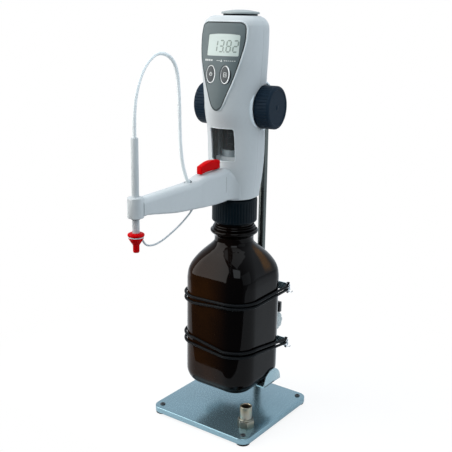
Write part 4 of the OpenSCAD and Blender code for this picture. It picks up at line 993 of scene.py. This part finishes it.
def bottle_foot(half, corner, round_r, z, steps):
    rings = []
    for a in (math.radians(90 * i / steps) for i in range(steps + 1)):
        into = round_r * (1 - math.sin(a))
        rings.append(square_ring(half - into, max(corner - into, 3), z + round_r * (1 - math.cos(a))))
    return rings


def bottle_shoulder(half, corner, neck, z, steps):
    rings = []
    for s in (i / steps for i in range(steps + 1)):
        w = table_value(SHOULDER, s, 1)
        rings.append(square_ring(half + (neck - half) * w, corner + (neck - corner) * w, z + 48.4 * s))
    return rings


def make_bottle():
    """Bottle as one skin: up the outside from the foot, over the mouth and down the inside."""
    half, corner, foot, wall = BOTTLE_HALF, BOTTLE_CORNER, BOTTLE_FOOT, 3
    outer = bottle_foot(half, corner, foot, 0, 12)
    outer += [square_ring(half, corner, z) for z in (40, 60, 80, 100, 120, 133)]
    outer += bottle_shoulder(half, corner, 24, 140.6, 40)
    bearings = [math.atan2(y, x) for x, y, _ in outer[-1]]
    neck = [(24, 190), (24, 193.5), (24.3, 195), (25.8, 196.6), (28.2, 198.6), (29.1, 199.8), (29.3, 201.2),
            (28.9, 202.3), (27.4, 203.0), (25.6, 203.3), (25.0, 203.6), (25.2, 204.2), (26.2, 204.6),
            (26.6, 205.3), (26.2, 206.1), (25.0, 206.5), (24.2, 206.8), (24.3, 207.4), (25.0, 207.9),
            (24.6, 208.7), (23.2, 209.2), (22.3, 209.5), (22.3, 226.4), (21.6, 227.4), (16.3, 227.4),
            (16.3, 196), (16.3, 190)]
    outer += [[(r * math.cos(a), r * math.sin(a), z) for a in bearings] for r, z in neck]
    half, corner, foot = half - wall, corner - wall, foot - wall
    inner = bottle_shoulder(half, corner, 21, 139.6, 20)[::-1]
    inner += [square_ring(half, corner, z) for z in (100, 60, 30)]
    inner += bottle_foot(half, corner, foot, wall, 6)[::-1]
    build("bottle_glass", *loft(outer + inner), "holder", at_row(0, 0, BOTTLE_Z), "amber_glass", 50,
          ("bottle",))


make_bottle()


def make_collar():
    def ribs(r, z, a):
        if r < 26.5 or z < 2.6 or z > 27.4:
            return r
        return r - 0.4 * max(0.0, math.cos(44 * a)) ** 4
    profile = [(22.7, 0), (25.2, 0), (26.2, 0.4), (27.1, 1.4), (27.5, 2.4), (27.5, 2.8), (27.5, 10),
               (27.5, 20), (27.5, 27.2), (27.5, 27.6), (27.3, 28.6), (26.7, 29.5), (25.6, 30), (19.1, 30),
               (19.1, 26), (22.7, 26)]
    # The collar is the wheels' dark plastic made darker: painted shade under the head
    build("collar_nut_ribbed", *hollow(lathe_rings(profile, 352, ribs)), "collar", at_row(0, 0, COLLAR_Z),
          "collar_plastic", 32, ("collar_nut",), "dark_plastic")


make_collar()


# Stand
PLATE_SIDE, PLATE_TOP, SCREW_X = 146, 10, 63


def hexagon(a, flat):
    """Radius of a hexagon at an angle. flat is half its width across the flats."""
    return flat / max(math.cos(a % (math.pi / 3) - math.pi / 6), 0.5)


def make_stand():
    plate = prism(rounded_outline(PLATE_SIDE, PLATE_SIDE, 12, 12), 2.5, PLATE_TOP, 0.9)
    build("base_plate_body", *plate, "stand", ROW, "plate_metal", 35, ("base_plate",))
    places = [(x, y) for x in (-SCREW_X, SCREW_X) for y in (-SCREW_X, SCREW_X)]
    foot = lathe([(7.6, 0), (8.3, 0.2), (8.6, 1.0), (8.6, 2.5)], 48)
    feet = joined(foot, *(moved(foot, x, y) for x, y in places))
    build("rubber_feet_round", *feet, "stand", ROW, "black_rubber", 35, ("rubber_feet",))
    head = lathe([(3.3, 9.8), (3.3, 10.6), (3.05, 11.1), (2.5, 11.4), (1.5, 11.4), (1.4, 10.7), (0.1, 10.6)],
                 36, lambda r, z, a: r if r > 1.6 else r * hexagon(a, 0.9))
    heads = joined(*(moved(head, x, y) for x, y in places))
    build("foot_screw_heads", *heads, "stand", ROW, "dark_screw", 35, ("foot_screws",))
    rod = [(5, PLATE_TOP), (5, 358), (4.85, 358.8), (4.3, 359.6), (3.5, 360), (0.1, 360)]
    build("stand_rod_ground", *lathe(rod, 64), "stand", at_row(0, ROD_Y, 0), "steel_rod", 40, ("stand_rod",))
    place = at_row(52.5, -42.5, 0)
    socket = [(5.6, 13), (5.6, 36.6), (6.0, 37.2), (6.9, 37.2), (7.3, 36.9), (7.5, 36.4), (7.5, 21.2),
              (8.7, 21.1), (8.95, 20.8), (8.95, 20.0), (8.7, 19.7), (7.5, 19.6), (7.5, PLATE_TOP)]
    build("stand_socket_tube", *loft(lathe_rings(socket, 64), cap_high=False), "stand", place, "plated_post",
          30, ("stand_socket",))
    nut = [(9.9, PLATE_TOP), (10.6, 10.8), (10.6, 18.4), (10.0, 19.2), (9.1, 19.5)]
    rings = lathe_rings(nut, 96, lambda r, z, a: min(r, hexagon(a - math.radians(15), 9.2)))
    rings += lathe_rings([(7.55, 19.5), (7.55, PLATE_TOP)], 96)
    build("socket_nut_hex", *hollow(rings), "stand", place, "plated_post", 25, ("socket_nut",))


make_stand()


# Holder
def sheet(outline, depth, at, axis):
    """Sheet metal piece with rounded rims. axis is the one that it is thick along."""
    verts, faces = prism(outline, at, at + depth, min(0.35, depth * 0.3), 2)
    if axis == "x":
        return [(z, x, y) for x, y, z in verts], faces
    return [(x, z, y) for x, y, z in verts], faces


def make_holder():
    thick, upright_y, upright_low, fork_top = 1.5, 51.5, 43.1, 44.6
    top = BOTTLE_Z + STRAP_HEIGHTS[0] + 13
    upright = rounded_outline(40, top - upright_low, 4, 6, 0, (top + upright_low) / 2)
    back = [sheet(upright, thick, upright_y, "y")]
    for h in STRAP_HEIGHTS:
        back.append(sheet(rounded_outline(102, 10, 3, 5, 0, BOTTLE_Z + h), 1.36, upright_y + 0.07, "y"))
    build("holder_back_sheet", *joined(*back), "holder", ROW, "coated_metal", 35, ("holder_back",))
    inner = BOTTLE_HALF - BOTTLE_FOOT + math.sqrt(22 ** 2 - 18 ** 2) + 0.3
    hw = BOTTLE_HALF + 0.6 + thick
    front_edge = -1.3
    arc = [(inner * math.cos(a), inner - 22 + 22 * math.sin(a) ** 0.8)
           for a in (math.radians(180 * i / 24) for i in range(25))]
    corner = [(hw - 12 + 12 * math.sin(a), 35 - 12 + 12 * math.cos(a))
              for a in (math.radians(90 - 9 * i) for i in range(10))]
    rear = corner + [(30, 35.6), (23, 40), (20, 45), (20, upright_y)]
    outline = [(-x, y) for x, y in reversed(rear)] + [(-hw, front_edge), (-inner, front_edge)]
    outline += [(-x, y) for x, y in arc] + [(inner, front_edge), (hw, front_edge)] + rear
    outline = outline[::-1]
    parts = [loft([raised(outline, fork_top - thick), raised(outline, fork_top)]),
             sheet(rounded_outline(40, 9, 2, 5, 0, fork_top + 4.5), thick, upright_y - thick, "y")]
    ear = [(18 + 19 * math.cos(a), fork_top - thick + 19 * math.sin(a))
           for a in (math.radians(180 * i / 40) for i in range(41))]
    parts += [sheet(ear, thick, x, "x") for x in (-hw, hw - thick)]
    build("holder_fork_sheet", *joined(*parts), "holder", ROW, "coated_metal", 35, ("holder_fork",))


def make_clamp():
    z = BOTTLE_Z + 75
    block = prism(rounded_outline(38, 20, 2.5, 5, 3, 63), z - 21, z + 21, 1.2)
    lug = box((21, 60, z + 6), (33, 64.5, z + 20))
    clamp = build("rod_clamp_body", *joined(block, lug), "holder", ROW, "clamp_black", 35, ("rod_clamp",))
    bevel(clamp, 0.8, 50)

    def lobes(r, z, a):
        return r if r < 9 else r - 1.5 * (0.5 - 0.5 * math.cos(8 * a)) ** 2
    knob = [(3, 5.4), (3, 21.6), (10.5, 21.6), (12, 22), (12.7, 23.2), (12.6, 25.8), (12.0, 27.8),
            (10.6, 29.4), (8.2, 30.2), (6, 30.4), (0.1, 30.5)]
    sideways = Matrix.Rotation(math.radians(90), 4, "Y")
    place = Matrix.Translation((0, ROD_Y * MM, (z - 8) * MM)) @ sideways @ ROW
    build("clamp_knob_lobed", *lathe(knob, 96, lobes), "clamp_knob_body", place, "knob_white", 35,
          ("clamp_knob",))


make_holder()
make_clamp()


def strap_path(heights, radius=1.7):
    """Points of a cord from the left hook round the bottle's front to the right hook."""
    off = radius + 0.3
    half, r = BOTTLE_HALF + off, BOTTLE_CORNER + off
    c = half - r
    hook = 47.3
    z0, z1, z2, z3 = heights
    pts = [(-half, hook, z0), (-half, (hook - c) / 2, (z0 + z1) / 2)]
    for side, z, start in ((-1, z1, 180), (1, z2, 270)):
        turns = [math.radians(a) for a in range(start, start + 91, 10)]
        pts += [(side * c + r * math.cos(a), -c + r * math.sin(a), z) for a in turns]
    return pts + [(half, (hook - c) / 2, (z2 + z3) / 2), (half, hook, z3)]


def make_straps():
    sags = ((0, -3.5, -1, 1), (6, 17.5, 12, 3))
    spreads = ((3.4, 3.5, 2.4, 2.2), (3.4, 4.4, 3, 2.4))
    for name, height, sag, spread in zip(("upper_strap", "lower_strap"), STRAP_HEIGHTS, sags, spreads):
        cords = []
        for side in (-1, 1):
            heights = [BOTTLE_Z + height + a + side * b for a, b in zip(sag, spread)]
            path, _ = catmull(strap_path(heights), 2.2)
            cords.append(tube(path, 1.7, 14, (0, 0, 1)))
        build(name + "_cords", *joined(*cords), "holder", ROW, "black_rubber", 60, (name,))


make_straps()


def hook_parts(z):
    """Right hook at a height: three wire rings round the cords' ends, a tail of wire and a slim plate."""
    wire = 0.62
    parts = []
    for cx, cy, cz, r, turn, lean in ((50.6, 48.0, 3.6, 2.9, 40, 12), (51.6, 48.6, -0.4, 2.6, 75, -25),
                                      (50.0, 47.6, -2.4, 2.5, 20, 35)):
        turned = Matrix.Rotation(math.radians(turn), 4, "Z") @ Matrix.Rotation(math.radians(lean), 4, "X")
        circle = [turned @ Vector((x, 0, y)) for x, y in oval(2 * r, 2 * r, 28)]
        parts.append(wire_ring([Vector((cx, cy, z + cz)) + p for p in circle], wire))
    tail = [(50.8, 48.4, -2.2), (52.6, 48.8, -4.0), (54.6, 49.6, -4.7), (56.0, 50.4, -4.2),
            (56.3, 50.8, -3.0)]
    path, _ = catmull([(x, y, z + up) for x, y, up in tail], 0.6)
    return parts + [tube(path, wire, 10), sheet(rounded_outline(3.4, 15, 1.2, 4, 49.2, z), 1.2, 50.1, "y")]


def cord_end(z):
    """Looped end of a rubber cord in a right hook."""
    knot = [(49.6, 46.4, 1.2), (50.8, 47.4, 4.6), (51.8, 48.6, 7.2), (50.4, 49.4, 6.2), (49.8, 48.6, 2.6)]
    path, _ = catmull([(x, y, z + up) for x, y, up in knot], 0.7)
    return tube(path, 1.25, 12)


def make_hooks():
    wires, ends = [], []
    for side in (-1, 1):
        for h in STRAP_HEIGHTS:
            wires += [mirrored(part, side) for part in hook_parts(BOTTLE_Z + h)]
            ends.append(mirrored(cord_end(BOTTLE_Z + h), side))
    build("strap_hook_wires", *joined(*wires), "holder", ROW, "hook_chrome", 40, ("strap_hooks",))
    build("strap_cord_ends", *joined(*ends), "holder", ROW, "black_rubber", 60)


make_hooks()


def make_door():
    verts, faces = prism(rounded_outline(27.4, 45.4, 1.4, 5, 0, DOOR_Z), 0, 2.2, 0.4, 2)
    parts = [([(x, z + 25, y) for x, y, z in verts], faces)]
    parts += [box((-5, 27, 160 + 3 * k), (5, 27.8, 161.4 + 3 * k)) for k in range(3)]
    build("battery_door_plate", *joined(*parts), "battery_door_body", HEAD, "head_plastic", 35,
          ("battery_door",))


make_door()

# CAD nodes that stay in view keep their solids and take a procedural finish
slot_of = {s["node"]: s["material_slot"] for s in frame["record"]["subparts"]}
for node, o in frame["nodes"].items():
    if not o.hide_render:
        o.data.materials.clear()
        o.data.materials.append(MATERIALS[slot_of[node]])
        soften(o, 30)


# Stage: pale floor, white surround and soft light
def make_world():
    """White to the camera. The light that it gives is pale blue and weaker from the front."""
    scene.world = bpy.data.worlds.new("studio")
    scene.world.use_nodes = True
    tree = scene.world.node_tree
    for n in list(tree.nodes):
        tree.nodes.remove(n)
    coords = add_node(tree, "TexCoord").outputs["Generated"]
    xyz = add_node(tree, "SeparateXYZ", {0: coords})
    strength = add_node(tree, "MapRange", {"Value": xyz.outputs["Y"], "From Min": -0.5, "From Max": 0.6,
                                           "To Min": 0.12, "To Max": 1.0})
    soft = add_node(tree, "Background", {"Color": (0.84, 0.92, 1.0, 1), "Strength": strength.outputs[0]})
    white = add_node(tree, "Background", {"Color": (1, 1, 1, 1), "Strength": 1.0})
    seen = add_node(tree, "LightPath").outputs["Is Camera Ray"]
    mix = add_node(tree, "MixShader", {0: seen, 1: soft.outputs[0], 2: white.outputs[0]})
    add_node(tree, "OutputWorld", {"Surface": mix.outputs[0]})


def make_floor():
    """Floor that takes the shadows near the stand and fades to white away from it."""
    me = bpy.data.meshes.new("floor")
    me.from_pydata([(-3, -0.17, 0), (3, -0.17, 0), (3, 4, 0), (-3, 4, 0)], [], [(0, 1, 2, 3)])
    floor = bpy.data.objects.new("floor", me)
    scene.collection.objects.link(floor)
    m = Nodes("floor")
    m.surface({"Base Color": (0.86, 0.88, 0.9, 1), "Roughness": 0.6})
    glow = m.new("Emission", {"Color": (1, 1, 1, 1)})
    away = m.new("VectorMath", {0: m.coords}, operation="LENGTH").outputs["Value"]
    fade = m.ramp(away, 0.08, 0.42, 0.84, 1.0, "SMOOTHSTEP")
    share = m.calc("MULTIPLY", m.new("LightPath").outputs["Is Camera Ray"], fade)
    blend = m.new("MixShader", {0: share, 1: m.bsdf.outputs[0], 2: glow.outputs[0]})
    m.tree.links.new(blend.outputs[0], m.tree.nodes["Material Output"].inputs["Surface"])
    me.materials.append(m.mat)


def make_lamp(name, place, size, power, color):
    """Area lamp that looks at the object's middle."""
    data = bpy.data.lights.new(name, "AREA")
    data.shape, data.size, data.size_y = "RECTANGLE", size[0], size[1]
    data.energy, data.color = power, color
    o = bpy.data.objects.new(name, data)
    o.location = place
    o.rotation_mode = "QUATERNION"
    o.rotation_quaternion = (Vector((0, 0, 0.3)) - Vector(place)).to_track_quat("-Z", "Y")
    scene.collection.objects.link(o)


make_world()
make_floor()
make_lamp("top", (-0.1, 0.0, 1.7), (1.4, 1.4), 9.5, (0.94, 0.98, 1.0))
make_lamp("left", (-1.2, -1.2, 1.0), (2.0, 2.0), 51, (1.0, 0.97, 0.94))
make_lamp("right", (1.6, -0.2, 0.8), (1.3, 1.4), 4, (0.84, 0.94, 1.0))
make_lamp("front", (0.75, -1.05, 1.5), (0.9, 0.9), 10.5, (0.88, 0.95, 1.0))
